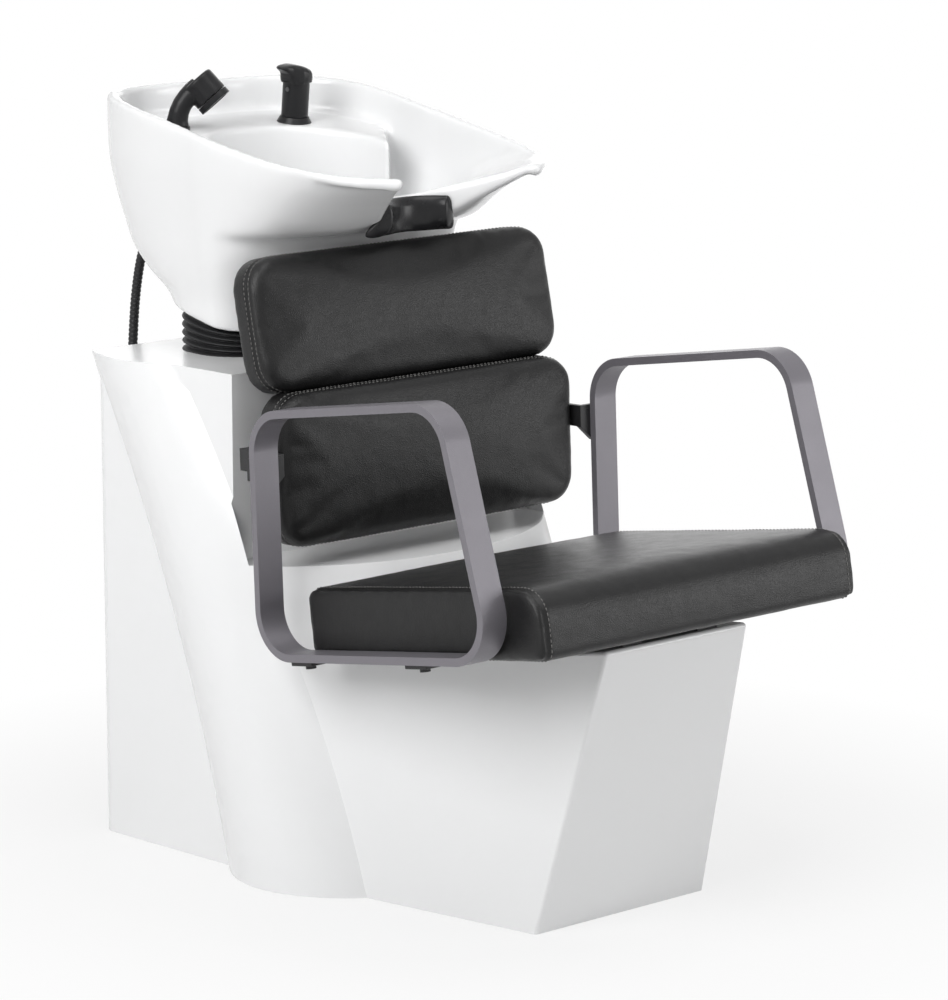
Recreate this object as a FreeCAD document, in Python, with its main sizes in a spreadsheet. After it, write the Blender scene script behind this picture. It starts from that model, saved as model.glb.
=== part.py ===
import FreeCAD, Part
import math
import os
import re
import Sketcher
from FreeCAD import Placement, Rotation, Vector

# Salon backwash unit: moulded base, upholstered seat and back, armrest loops,
# and a tilting ceramic bowl with its mixer and pull-out hand shower.
# Millimetres. +X is the sitter's left, +Y is to the rear, +Z is up.
# The origin is on the floor, in the middle of the unit's outline.

SIZES = {
    # Moulded base: a column that leans back, a flat-sided rear block and a front wedge
    "column_height": 640, "column_mid_height": 285, "shell_wall": 6,
    "foot_half_width": 280, "foot_half_depth": 190, "foot_centre_y": 25,
    "waist_half_width": 282, "waist_half_depth": 200, "waist_centre_y": 115,
    "top_half_width": 285, "top_half_depth": 214, "top_centre_y": 295,
    "rear_wall_y": 360, "block_front_y": 70, "block_front_half": 241, "block_rear_half": 272,
    "block_corner": 22, "wedge_rear_y": 20, "wedge_toe_y": -357, "wedge_lip_y": -455,
    "wedge_lip_z": 368, "wedge_lip_half": 116, "wedge_taper": 13.7, "wedge_edge": 5,
    "niche_y": 100, "niche_half": 247, "niche_floor": 402, "top_opening_half": 62, "top_opening_front_y": 144,
    "top_opening_rear_y": 256, "overrun": 40,
    # Service panel on the rear wall
    "service_half_width": 150, "service_bottom": 120, "service_height": 320,
    "panel_lap": 20, "panel_thick": 4, "panel_screw_r": 2.5, "panel_head_r": 5, "panel_head": 3,
    "panel_screw_length": 12,
    # Steel inside the base
    "floor_plate_width": 360, "floor_plate_depth": 200, "floor_plate_thick": 6, "anchor_r": 6,
    "anchor_x": 280, "anchor_y": 140, "post_half": 15, "post_wall": 3, "post_x": 110,
    "cap_plate_width": 280, "cap_plate_depth": 130, "cap_plate_thick": 5,
    # Seat, laid out in its own tilted frame
    "seat_front_y": -500, "seat_front_z": 387, "seat_tilt": 9.9, "seat_width": 512,
    "seat_length": 430, "seat_thick": 85, "seat_corner": 34, "seat_plan_corner": 15, "seat_draw_in": 3,
    "seat_board_thick": 12, "seat_board_inset": 12, "board_clear": 0.3,
    "rail_width": 34, "rail_gap": 10.9, "rail_x": 62, "rail_front": 62, "rail_rear": 402,
    "strap_width": 40, "strap_thick": 5, "strap_front": 186, "strap_rear": 406,
    "strap_half": 296, "bolt_r": 4, "bolt_head_r": 6.5, "bolt_head": 5, "bolt_clear": 0.1,
    "seat_screw_x": 200, "seat_screw_length": 14,
    # Armrest loops, in the seat's frame
    "arm_outer_half": 300, "arm_bar_width": 37, "arm_bar_thick": 10, "arm_front": 39,
    "arm_rear": 489, "arm_height": 309, "arm_front_set": 47, "arm_rear_set": 39, "arm_corner": 58,
    # Back, in a frame along the armrests' rear posts
    "tab_thick": 8, "tab_height": 28, "tab_z": 225, "arm_side": 246, "bar_back": 72,
    "gusset_drop": 20, "gusset_reach": 22,
    "cushion_half_width": 240, "lower_seam": 10, "lower_bottom": 130, "lower_height": 189,
    "cushion_depth": 47, "cushion_crown": 12, "cushion_corner": 42, "cushion_draw_in": 3,
    "back_board_thick": 10, "back_board_inset": 22, "spine_x": 90, "spine_width": 36, "spine_thick": 5,
    "upper_recline": 13, "upper_gap": 6, "upper_set": 20, "upper_height": 166, "back_screw_head_r": 6,
    "back_screw_head": 3, "spine_end": 24,
    # Ceramic bowl
    "bowl_widest_y": 220, "rim_rear_z": 957, "deck_y": 400,
    "deck_z": 904, "deck_tilt": 6, "deck_tip_x": 124, "deck_tip_y": 236, "deck_side_x": 220,
    "deck_side_y": 369,
    "basin_r": 127, "basin_y": 263.5, "basin_wall": 8, "deck_thick": 14, "pocket_half": 150,
    "pocket_depth": 144, "pocket_front": -88, "notch_r": 68, "notch_y": -5, "horn_x": 118, "horn_y": -92,
    "collar_centre_y": 251, "collar_z": 686, "collar_tilt": 10.8, "collar_half_width": 190,
    "collar_half_depth": 88, "collar_wall": 14, "bowl_underside": 738, "basin_floor": 757,
    "neck_rest_thick": 14, "neck_rest_bottom": 801, "neck_rest_top": 851, "neck_rest_spread": 62,
    # Drain
    "drain_y": 228, "drain_flange_r": 32, "drain_flange": 3, "drain_tube_r": 20, "drain_bore_r": 17,
    "drain_end": 652, "drain_seal": 4, "drain_nut": 10, "drain_nut_r": 30, "strainer_r": 25,
    "strainer_thick": 2.5, "strainer_hole_r": 2.5, "strainer_pitch_r": 16,
    # Tilt hinge under the bowl
    "pivot_y": 263, "pivot_z": 668, "pin_r": 8, "pin_clear": 0.05, "lug_r": 16, "lug_thick": 8,
    "base_lug_x": 92, "head_lug_x": 80, "hinge_plate_width": 232, "hinge_plate_depth": 96,
    "hinge_plate_thick": 6, "hinge_bolt_x": 60, "hinge_bolt_y": 34, "drain_window": 68, "pin_head_r": 12,
    "pin_head": 4,
    # Rubber bellows
    "bellows_half_width": 187, "bellows_half_depth": 90, "bellows_pleat": 7, "bellows_wall": 3,
    "bellows_pleats": 5, "seat_clear": 0.3,
    # Mixer, on the deck
    "mixer_x": 90, "mixer_y": -6, "mixer_ring_r": 24, "mixer_ring": 9, "mixer_body_r": 18,
    "mixer_body": 44, "cartridge_r": 13, "cartridge_clear": 0.1, "spindle_r": 4, "spindle_clear": 0.05,
    "lever_inner_r": 20, "lever_r": 21.5, "lever_skirt": 3, "lever_reach": 56, "lever_width": 22,
    "lever_thick": 6, "lever_rise": 15, "lever_heading": 192, "mark_r": 3, "mark_proud": 0.6,
    "mixer_tail_r": 14, "mixer_nut_r": 22, "mixer_nut": 8, "supply_r": 5, "supply_x": 8, "supply_length": 52,
    "tail_length": 34,
    # Hand shower, on the deck
    "shower_x": -90, "shower_y": 14, "holder_r": 17, "holder": 6, "holder_tail_r": 11.5, "holder_bore_r": 9,
    "hole_clear": 0.5, "stem_clear": 0.08, "holder_nut_r": 18, "stem_length": 34, "hose_r": 6.5,
    "hose_bore_r": 4, "ferrule_r": 7.5, "stub_length": 6, "hose_lead": 61, "neck_r": 12.5, "head_r": 23.5,
    "head_length": 31, "ring_length": 8,
    "ring_groove": 1.2, "face_r": 19, "face_recess": 2, "head_x": 31, "head_y": -12, "head_z": 55,
    "head_heading": -52, "head_dip": 43, "nozzle_r": 1.2, "nozzle_ring_r": 13, "nozzles": 16,
    "hose_ribs": 200, "hose_rib_depth": 0.6,
}

# The bowl's outline at rising levels, outside and inside:
# level, half width, front end and rear end, as shares of rim_rear_z, collar_half_width and deck_y
OUTER_SHARES = [
    (0.684, 0.985, 0.414, 0.840), (0.737, 1.000, 0.410, 0.878), (0.774, 1.032, 0.386, 1.030),
    (0.805, 1.053, 0.335, 1.120), (0.831, 1.063, 0.289, 1.152), (0.843, 1.067, 0.160, 1.169),
    (0.889, 1.084, -0.051, 1.217), (0.931, 1.095, -0.275, 1.240), (1.030, 1.095, -0.726, 1.245),
]
INNER_SHARES = [
    (0.791, 0.330, 0.391, 0.696), (0.807, 0.800, 0.376, 0.929), (0.845, 0.985, 0.289, 1.112),
    (0.884, 1.010, 0.166, 1.175), (0.931, 1.025, -0.223, 1.207), (1.030, 1.025, -0.665, 1.212),
]
SECTIONS_BETWEEN = 3
# The rim's fall from the rear to the front, seen from the side: places along deck_y, heights on rim_rear_z
RIM_SHARES = [(-0.644, 0.911), (-0.200, 0.928), (0.300, 0.949), (0.800, 0.983), (1.304, 1.001)]
# Mould of each back cushion, front to back: depth, inset
CUSHION_SHARES = [(-1.0, 1.0), (-0.62, 0.42), (0.0, 0.0), (0.5, 0.06), (1.0, 0.0)]
# Mould of the seat from its base up: height, inset at the sides and rear, inset at the front
SEAT_SHARES = [(0.0, 0.10, 0.16), (0.14, 0.0, 0.0), (0.62, 0.0, 0.06), (0.86, 0.14, 0.42), (1.0, 1.0, 1.9)]
CURVE_POINTS = 6
FRONT_POWER = 2.5
REAR_POWER = 3.8
BASIN_POWER = 2.9
COLLAR_POWER = 2.6

# The hand shower's neck: rise before it leans, taper, its reach into the head, and its wider foot
NECK_SHARES = (0.68, 0.92, 0.66, 1.12)
# The head's length behind and before the neck's end
HEAD_SHARES = (0.5, 0.5)
# The mixer lever from root to tip: reach, width, rise, thickness
LEVER_SHARES = [(0.0, 1.0, 0.2, 2.0), (0.55, 0.9, 1.0, 1.0), (1.0, 0.55, 1.45, 0.45)]
LEVER_CORNER_SHARE = 0.4
MARK_HEIGHT_SHARE = 0.86
# The bellows' rounded ends, and the length of each hose arc on its shorter run
BELLOWS_END_SHARE = 0.98
ARC_SHARE = 0.45
# One rib of the hose: place along its pitch, whether it is full
RIB_SHARES = [(0.2, 1), (0.6, 1), (0.8, 0), (1.0, 0)]
# The shower hose's way behind the unit, between its two straight ends:
# shares of mixer_x across, of deck_y to the rear and of deck_z up
HOSE_SHARES = [
    (-1.00, 1.220, 0.837), (-1.00, 1.277, 0.763), (-1.01, 1.300, 0.669), (-1.04, 1.308, 0.553),
    (-0.98, 1.313, 0.454), (-0.66, 1.315, 0.378), (-0.02, 1.317, 0.350), (0.64, 1.315, 0.376),
    (0.98, 1.313, 0.452), (1.05, 1.308, 0.551), (1.02, 1.300, 0.668), (1.00, 1.275, 0.763),
    (1.00, 1.198, 0.832),
]

doc = FreeCAD.newDocument("BackwashUnit")
sheet = doc.addObject("Spreadsheet::Sheet", "Sizes")
for row, (alias, value) in enumerate(SIZES.items(), start=1):
    sheet.set("A%d" % row, alias)
    sheet.set("B%d" % row, str(value))
    sheet.setAlias("B%d" % row, alias)
doc.recompute()

nodes = []


def size(alias):
    return float(sheet.get(alias))


def bound(text):
    return re.sub(r"[a-z_]+[a-z]", lambda m: ("Sizes." if m.group(0) in SIZES else "") + m.group(0), text)


def bind(obj, **sizes):
    for prop, text in sizes.items():
        obj.setExpression(prop, bound(text))
    return obj


def at(obj, x="0", y="0", z="0"):
    for axis, text in zip("xyz", (x, y, z)):
        obj.setExpression("Placement.Base." + axis, bound(text))
    return obj


def box(name, length, width, height, x="0", y="0", z="0"):
    obj = doc.addObject("Part::Box", name)
    return at(bind(obj, Length=length, Width=width, Height=height), x, y, z)


def block(name, half, width, height, y="0", z="0", x="0"):
    return box(name, "2 * (%s)" % half, width, height, "%s - (%s)" % (x, half), y, z)


def rod(name, radius, height, x="0", y="0", z="0", along=(0, 0, 1)):
    obj = doc.addObject("Part::Cylinder", name)
    obj.Placement = Placement(Vector(), Rotation(Vector(0, 0, 1), Vector(*along)))
    return at(bind(obj, Radius=radius, Height=height), x, y, z)


def ball(name, radius, x="0", y="0", z="0"):
    obj = doc.addObject("Part::Sphere", name)
    return at(bind(obj, Radius=radius), x, y, z)


def fuse(name, *pieces):
    obj = doc.addObject("Part::MultiFuse", name)
    obj.Shapes = list(pieces)
    return obj


def cut(name, base, *tools):
    obj = doc.addObject("Part::Cut", name)
    obj.Base = base
    obj.Tool = tools[0] if len(tools) == 1 else fuse(name + "_tools", *tools)
    return obj


def solid(name, shape):
    obj = doc.addObject("Part::Feature", name)
    obj.Shape = shape
    return obj


def group(name, *pieces):
    obj = doc.addObject("Part::Compound", name)
    obj.Links = list(pieces)
    return obj


def node(obj, label, frame=None):
    obj.Label = label
    if frame is not None:
        obj.Placement = frame.multiply(obj.Placement)
    nodes.append(obj)
    return obj


def tilted(y, z, degrees, x=0.0):
    return Placement(Vector(x, y, z), Rotation(Vector(1, 0, 0), degrees))


def rounded(points, radius):
    # A closed outline through the points, with each corner an arc of the radius
    edges = []
    count = len(points)
    starts, ends, middles = [], [], []
    for i in range(count):
        here = points[i]
        back = (points[i - 1] - here).normalize()
        ahead = (points[(i + 1) % count] - here).normalize()
        half = back.getAngle(ahead) / 2
        reach = radius / math.tan(half)
        starts.append(here + back * reach)
        ends.append(here + ahead * reach)
        middles.append(here + (back + ahead).normalize() * (radius / math.sin(half) - radius))
    for i in range(count):
        edges.append(Part.Arc(starts[i], middles[i], ends[i]).toShape())
        edges.append(Part.LineSegment(ends[i], starts[(i + 1) % count]).toShape())
    return Part.Wire(edges)


def plate(name, width, length, thick, holes=(), hole_r="bolt_r"):
    # A flat plate in the XY plane, centred on its origin, with drilled holes
    body = doc.addObject("PartDesign::Body", name)
    ground = [f for f in body.Origin.OriginFeatures if f.Role == "XY_Plane"][0]
    sketch = body.newObject("Sketcher::SketchObject", name + "_outline")
    sketch.AttachmentSupport = [(ground, "")]
    sketch.MapMode = "FlatFace"
    corners = [Vector(-1, -1, 0), Vector(1, -1, 0), Vector(1, 1, 0), Vector(-1, 1, 0)]
    for i in range(4):
        sketch.addGeometry(Part.LineSegment(corners[i], corners[(i + 1) % 4]), False)
    for i in range(4):
        sketch.addConstraint(Sketcher.Constraint("Coincident", i, 2, (i + 1) % 4, 1))
        sketch.addConstraint(Sketcher.Constraint("Vertical" if i % 2 else "Horizontal", i))
    sketch.addConstraint(Sketcher.Constraint("Symmetric", 0, 1, 2, 1, -1, 1))
    across = sketch.addConstraint(Sketcher.Constraint("DistanceX", 0, 1, 0, 2, 2.0))
    along = sketch.addConstraint(Sketcher.Constraint("DistanceY", 1, 1, 1, 2, 2.0))
    sketch.setExpression("Constraints[%d]" % across, bound(width))
    sketch.setExpression("Constraints[%d]" % along, bound(length))
    pad = body.newObject("PartDesign::Pad", name + "_pad")
    pad.Profile = sketch
    pad.setExpression("Length", bound(thick))
    if holes:
        drill = body.newObject("Sketcher::SketchObject", name + "_holes")
        drill.AttachmentSupport = [(ground, "")]
        drill.MapMode = "FlatFace"
        for i, (x, y) in enumerate(holes):
            drill.addGeometry(Part.Circle(Vector(x, y, 0), Vector(0, 0, 1), 1), False)
            ring = drill.addConstraint(Sketcher.Constraint("Radius", i, 1.0))
            drill.setExpression("Constraints[%d]" % ring, bound(hole_r))
        pocket = body.newObject("PartDesign::Pocket", name + "_drilling")
        pocket.Profile = drill
        pocket.Type = "ThroughAll"
        pocket.Midplane = True
    return body


def oval(level, half_width, front, rear, middle, front_power, rear_power):
    # A closed outline of four quarter curves, wider behind than in front
    edges = []
    for quarter in range(4):
        behind = quarter < 2
        ease = 2 / (rear_power if behind else front_power)
        reach = rear - middle if behind else front - middle
        points = []
        for i in range(CURVE_POINTS + 1):
            turn = math.pi / 2 * (quarter + i / CURVE_POINTS)
            across, along = math.cos(turn), math.sin(turn)
            x = math.copysign(abs(across) ** ease, across) * half_width
            points.append(Vector(x, middle + abs(along) ** ease * reach, level))
        points[0] = edges[-1].Vertexes[-1].Point if edges else Vector(half_width, middle, level)
        if quarter == 3:
            points[-1] = Vector(half_width, middle, level)
        curve = Part.BSplineCurve()
        curve.interpolate(points)
        edges.append(curve.toShape())
    return Part.Wire(edges)


def eased(table, place):
    # A row between the table's rows, on curves that never run past them
    last = len(table) - 2
    i = min(int(place), last)
    share = place - i
    row = []
    for column in range(len(table[0])):
        values = [r[column] for r in table]
        slopes = [b - a for a, b in zip(values, values[1:])]
        tangents = []
        for n in range(len(values)):
            before, after = slopes[max(n - 1, 0)], slopes[min(n, last)]
            tangents.append(2 * before * after / (before + after) if before * after > 0 else 0.0)
        cube, square = share ** 3, share ** 2
        row.append((2 * cube - 3 * square + 1) * values[i] + (cube - 2 * square + share) * tangents[i]
                   + (3 * square - 2 * cube) * values[i + 1] + (cube - square) * tangents[i + 1])
    return row


def pillow_outline(half_x, half_y, corner, draw_in, level, shift_y=0.0):
    # A rounded rectangle whose sides are drawn in between its corners
    signs = [(1, -1), (1, 1), (-1, 1), (-1, -1)]
    edges = []
    for i, (sx, sy) in enumerate(signs):
        nx, ny = signs[(i + 1) % 4]
        cx, cy = sx * (half_x - corner), sy * (half_y - corner)
        turn = math.atan2(sy, sx)
        first, last = turn - math.pi / 4, turn + math.pi / 4
        bend = [Vector(cx + corner * math.cos(a), cy + corner * math.sin(a) + shift_y, level)
                for a in (first, turn, last)]
        edges.append(Part.Arc(*bend).toShape())
        ex, ey = nx * (half_x - corner), ny * (half_y - corner)
        start = bend[2]
        end = Vector(ex + corner * math.cos(last), ey + corner * math.sin(last) + shift_y, level)
        middle = (start + end) * 0.5 - Vector(math.cos(last), math.sin(last), 0) * draw_in
        edges.append(Part.Arc(start, middle, end).toShape())
    return Part.Wire(edges)


seat_frame = tilted(size("seat_front_y"), size("seat_front_z"), -size("seat_tilt"))
deck_frame = tilted(size("deck_y"), size("deck_z"), size("deck_tilt"))
arm_lean = math.degrees(math.atan2(size("arm_rear_set"), size("arm_height")))
post_foot = seat_frame.multVec(Vector(0, size("arm_rear"), 0))
back_frame = tilted(post_foot.y, post_foot.z, arm_lean - size("seat_tilt"))


def base_form(name, inset):
    # The base's outer form, or the hollow inside it when inset by the wall
    rings = []
    for ring, level in (("foot", "0"), ("waist", "column_mid_height"), ("top", "column_height")):
        ellipse = doc.addObject("Part::Ellipse", name + "_" + ring)
        bind(ellipse, MajorRadius="%s_half_width - %s" % (ring, inset),
             MinorRadius="%s_half_depth - %s" % (ring, inset))
        rings.append(at(ellipse, "0", ring + "_centre_y", level))
    column = doc.addObject("Part::Loft", name + "_column")
    column.Sections = rings
    column.Solid = True
    rear = doc.addObject("Part::Wedge", name + "_block")
    bind(rear, Xmin="-block_front_half + " + inset, Xmax="block_front_half - " + inset,
         X2min="-block_rear_half + " + inset, X2max="block_rear_half - " + inset,
         Ymin="block_front_y", Ymax="rear_wall_y - " + inset, Zmin="0", Z2min="0",
         Zmax="column_height", Z2max="column_height")
    slope = "tan(wedge_taper * 1deg)"
    rear_half = "wedge_lip_half + (wedge_rear_y - wedge_lip_y) * " + slope
    fall = "(wedge_rear_y - wedge_lip_y) * tan(seat_tilt * 1deg)"
    front = doc.addObject("Part::Wedge", name + "_wedge")
    bind(front, Xmin="-wedge_lip_half + " + inset, Xmax="wedge_lip_half - " + inset,
         X2min="-(%s) + %s" % (rear_half, inset), X2max="%s - %s" % (rear_half, inset),
         Ymin="wedge_lip_y", Ymax="wedge_rear_y", Zmin="0", Z2min="0",
         Zmax="wedge_lip_z - " + inset, Z2max="wedge_lip_z - %s - %s" % (fall, inset))
    lean = math.degrees(math.atan2(size("wedge_toe_y") - size("wedge_lip_y"), size("wedge_lip_z")))
    slab = box(name + "_toe_cut", "4 * wedge_lip_half", "2 * overrun + wedge_toe_y - wedge_lip_y",
               "2 * wedge_lip_z", "-2 * wedge_lip_half")
    slab.Placement = Placement(Vector(), Rotation(Vector(1, 0, 0), lean))
    drop = "(2 * overrun + wedge_toe_y - wedge_lip_y)"
    turn = "(%.6f * 1deg)" % lean
    at(slab, "-2 * wedge_lip_half",
       "wedge_toe_y + %s - %s * cos(%s) + overrun * sin(%s)" % (inset, drop, turn, turn),
       "0 - %s * sin(%s) - overrun * cos(%s)" % (drop, turn, turn))
    toe = cut(name + "_toe", front, slab)
    return column, rear, toe


def rear_corners(name, rear, radius):
    # Rounds the block's two upright edges at the rear
    corners = doc.addObject("Part::Fillet", name)
    corners.Base = rear
    corners.Edges = [(i + 1, radius, radius) for i, e in enumerate(rear.Shape.Edges)
                     if min(v.Y for v in e.Vertexes) > size("rear_wall_y") - 2 * size("shell_wall")
                     and abs(e.Vertexes[0].X - e.Vertexes[-1].X) < size("shell_wall")]
    return corners


def base_shell():
    column, rear, toe = base_form("base", "0")
    doc.recompute()
    corners = rear_corners("base_rear_corners", rear, size("block_corner"))
    edges = doc.addObject("Part::Fillet", "base_toe_edges")
    edges.Base = toe
    edges.Edges = [(i + 1, size("wedge_edge"), size("wedge_edge"))
                   for i, e in enumerate(toe.Shape.Edges)
                   if e.CenterOfMass.y < size("wedge_toe_y") / 2 and e.CenterOfMass.z > size("shell_wall")]
    outer = fuse("base_outer", column, corners, edges)
    back_cut = block("base_back_cut", "column_height", "column_height", "2 * column_height", "rear_wall_y")
    niche = block("base_niche", "niche_half", "niche_y + column_height", "column_height",
                  "-column_height", "niche_floor")
    outside = cut("base_outside", outer, back_cut, niche)
    hollow, hollow_rear, hollow_toe = base_form("hollow", "shell_wall")
    doc.recompute()
    hollow_corners = rear_corners("hollow_rear_corners", hollow_rear,
                                  size("block_corner") - size("shell_wall"))
    inner = fuse("hollow_all", hollow, hollow_corners, hollow_toe)
    hollow_back = block("hollow_back_cut", "column_height", "column_height", "2 * column_height",
                        "rear_wall_y - shell_wall")
    hollow_niche = block("hollow_niche", "niche_half + shell_wall", "niche_y + shell_wall + column_height",
                         "column_height", "-column_height", "niche_floor - shell_wall")
    lid = block("hollow_lid", "column_height", "2 * column_height", "column_height", "-column_height",
                "column_height - shell_wall")
    hollow_inside = cut("hollow_inside", inner, hollow_back, hollow_niche, lid)
    opening = block("base_top_opening", "top_opening_half", "top_opening_rear_y - top_opening_front_y",
                    "4 * shell_wall", "top_opening_front_y", "column_height - 2 * shell_wall")
    service = block("base_service_opening", "service_half_width", "4 * shell_wall", "service_height",
                    "rear_wall_y - 2 * shell_wall", "service_bottom")
    screw_holes = [rod("base_screw_hole_%d" % i, "panel_screw_r + bolt_clear", "4 * shell_wall",
                       x, "rear_wall_y + 2 * shell_wall", z, (0, -1, 0))
                   for i, (x, z) in enumerate(panel_corners())]
    return node(cut("base_shell", outside, hollow_inside, opening, service, *screw_holes), "base_shell")


def panel_corners():
    across = "service_half_width + panel_lap / 2"
    low = "service_bottom - panel_lap / 2"
    high = "service_bottom + service_height + panel_lap / 2"
    return [(sign + "(" + across + ")", z) for sign in ("-", "") for z in (low, high)]


def service_panel():
    sheet_metal = block("panel_sheet", "service_half_width + panel_lap", "panel_thick",
                        "service_height + 2 * panel_lap", "rear_wall_y", "service_bottom - panel_lap")
    holes = [rod("panel_hole_%d" % i, "panel_screw_r + bolt_clear", "4 * panel_thick", x,
                 "rear_wall_y - panel_thick", z, (0, 1, 0)) for i, (x, z) in enumerate(panel_corners())]
    node(cut("service_panel", sheet_metal, *holes), "service_panel")
    screws = []
    for i, (x, z) in enumerate(panel_corners()):
        head = rod("panel_head_%d" % i, "panel_head_r", "panel_head", x, "rear_wall_y + panel_thick", z,
                   (0, 1, 0))
        shank = rod("panel_shank_%d" % i, "panel_screw_r", "panel_screw_length", x,
                    "rear_wall_y + panel_thick", z, (0, -1, 0))
        screws.append(fuse("panel_screw_%d" % i, head, shank))
    node(group("panel_screws", *screws), "panel_screws")


def inner_steel():
    pattern = [(sx * size("anchor_x") / 2, sy * size("anchor_y") / 2) for sx in (-1, 1) for sy in (-1, 1)]
    floor_plate = plate("floor_plate", "floor_plate_width", "floor_plate_depth", "floor_plate_thick",
                        pattern, "anchor_r")
    node(floor_plate, "floor_plate", tilted(size("pivot_y") - size("cap_plate_depth") / 2, 0, 0))
    height = "column_height - shell_wall - cap_plate_thick - floor_plate_thick"
    for side, x in (("right", "-post_x"), ("left", "post_x")):
        tube = block("post_tube_" + side, "post_half", "2 * post_half", height, "pivot_y - post_half",
                     "floor_plate_thick", x)
        bore = block("post_bore_" + side, "post_half - post_wall", "2 * (post_half - post_wall)", height,
                     "pivot_y - post_half + post_wall", "floor_plate_thick", x)
        node(cut("frame_post_" + side, tube, bore), "frame_post_" + side)
    cap = block("cap_sheet", "cap_plate_width / 2", "cap_plate_depth", "cap_plate_thick",
                "pivot_y - cap_plate_depth / 2", "column_height - shell_wall - cap_plate_thick")
    window = block("cap_window", "top_opening_half", "top_opening_rear_y - top_opening_front_y",
                   "3 * cap_plate_thick", "top_opening_front_y",
                   "column_height - shell_wall - 2 * cap_plate_thick")
    node(cut("cap_plate", cap, window), "cap_plate")


def seat():
    rings = []
    for height, side, front in SEAT_SHARES:
        reach = size("seat_corner")
        half_x = size("seat_width") / 2 - side * reach
        half_y = (size("seat_length") - (side + front) * reach) / 2
        shift = size("seat_length") / 2 + (front - side) * reach / 2
        corner = size("seat_plan_corner") * (1 - side / 2)
        rings.append(pillow_outline(half_x, half_y, corner, size("seat_draw_in"),
                                    height * size("seat_thick"), shift))
    pad = Part.makeLoft(rings, True, False)
    clear = size("board_clear")
    inset = size("seat_board_inset") - clear
    recess = Part.makeBox(size("seat_width") - 2 * inset, size("seat_length") - 2 * inset,
                          size("seat_board_thick") + clear + size("overrun"),
                          Vector(inset - size("seat_width") / 2, inset, -size("overrun")))
    node(solid("seat_cushion", pad.cut(recess)), "seat_cushion", seat_frame)
    board = plate("seat_board", "seat_width - 2 * seat_board_inset", "seat_length - 2 * seat_board_inset",
                  "seat_board_thick")
    node(board, "seat_board", seat_frame.multiply(Placement(Vector(0, size("seat_length") / 2, 0),
                                                            Rotation())))


def strap_bolts():
    across = "arm_outer_half - arm_bar_width / 2"
    return [(sign + "(" + across + ")", y) for sign in ("-", "") for y in ("strap_front", "strap_rear")]


def seat_screw_places():
    rear = "strap_rear - strap_width / 5"
    return [(sign + "seat_screw_x", y) for sign in ("-", "") for y in ("strap_front", rear)]


def seat_steel():
    rails = [block("rail_" + side, "rail_width / 2", "rail_rear - rail_front", "rail_gap", "rail_front",
                   "-rail_gap", x) for side, x in (("right", "-rail_x"), ("left", "rail_x"))]
    straps = [block("strap_" + end, "strap_half", "strap_width", "strap_thick", y + " - strap_width / 2",
                    "-strap_thick") for end, y in (("front", "strap_front"), ("rear", "strap_rear"))]
    frame = fuse("seat_frame_solid", *(rails + straps))
    holes = [rod("strap_hole_%d" % i, "bolt_r + bolt_clear", "3 * strap_thick", x, y, "-2 * strap_thick")
             for i, (x, y) in enumerate(strap_bolts() + seat_screw_places())]
    node(cut("seat_frame", frame, *holes), "seat_frame", seat_frame)
    for label, places, length in (("armrest_bolts", strap_bolts(), "strap_thick + arm_bar_thick / 2"),
                                  ("seat_screws", seat_screw_places(), "seat_screw_length")):
        bolts = []
        for i, (x, y) in enumerate(places):
            head = rod(label + "_head_%d" % i, "bolt_head_r", "bolt_head", x, y, "-strap_thick - bolt_head")
            shank = rod(label + "_shank_%d" % i, "bolt_r", length, x, y, "-strap_thick")
            bolts.append(fuse(label + "_%d" % i, head, shank))
        node(group(label, *bolts), label, seat_frame)
    for obj, length in ((doc.getObject("seat_board"), "seat_screw_length"),):
        drilled = cut("seat_board_drilled", obj, *[
            rod("seat_board_hole_%d" % i, "bolt_r + bolt_clear", length, x, y, "-strap_thick")
            for i, (x, y) in enumerate(seat_screw_places())])
        nodes.remove(obj)
        obj.Label = "seat_board_blank"
        obj.Placement = Placement(Vector(0, size("seat_length") / 2, 0), Rotation())
        node(drilled, "seat_board", seat_frame)


def arm_loop(inset):
    low, high = inset, size("arm_height") - inset
    front = lambda z: size("arm_front") + size("arm_front_set") * z / size("arm_height")
    rear = lambda z: size("arm_rear") - size("arm_rear_set") * z / size("arm_height")
    front_slack = inset / math.cos(math.atan2(size("arm_front_set"), size("arm_height")))
    rear_slack = inset / math.cos(math.atan2(size("arm_rear_set"), size("arm_height")))
    corners = [Vector(0, front(low) + front_slack, low), Vector(0, rear(low) - rear_slack, low),
               Vector(0, rear(high) - rear_slack, high), Vector(0, front(high) + front_slack, high)]
    return Part.Face(rounded(corners, size("arm_corner") - inset))


def armrests():
    loop = arm_loop(0).cut(arm_loop(size("arm_bar_thick")))
    width = size("arm_bar_width")
    bolt_r = size("bolt_r") + size("bolt_clear")
    for side, inner in (("right", -size("arm_outer_half")), ("left", size("arm_outer_half") - width)):
        bar = loop.copy()
        bar.translate(Vector(inner, 0, 0))
        bar = bar.extrude(Vector(width, 0, 0))
        for y in (size("strap_front"), size("strap_rear")):
            bar = bar.cut(Part.makeCylinder(bolt_r, size("arm_bar_thick") / 2 + bolt_r,
                                            Vector(inner + width / 2, y, -bolt_r)))
        tab = Vector(inner + width / 2, 0, size("tab_z") + size("tab_height") / 2)
        along = Placement(Vector(0, size("arm_rear"), 0), Rotation(Vector(1, 0, 0), arm_lean))
        drill = Part.makeCylinder(bolt_r, size("arm_bar_thick") / 2 + bolt_r, tab + Vector(0, bolt_r, 0),
                                  Vector(0, -1, 0))
        drill.Placement = along
        node(solid("armrest_" + side, bar.cut(drill)), "armrest_" + side, seat_frame)


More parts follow.
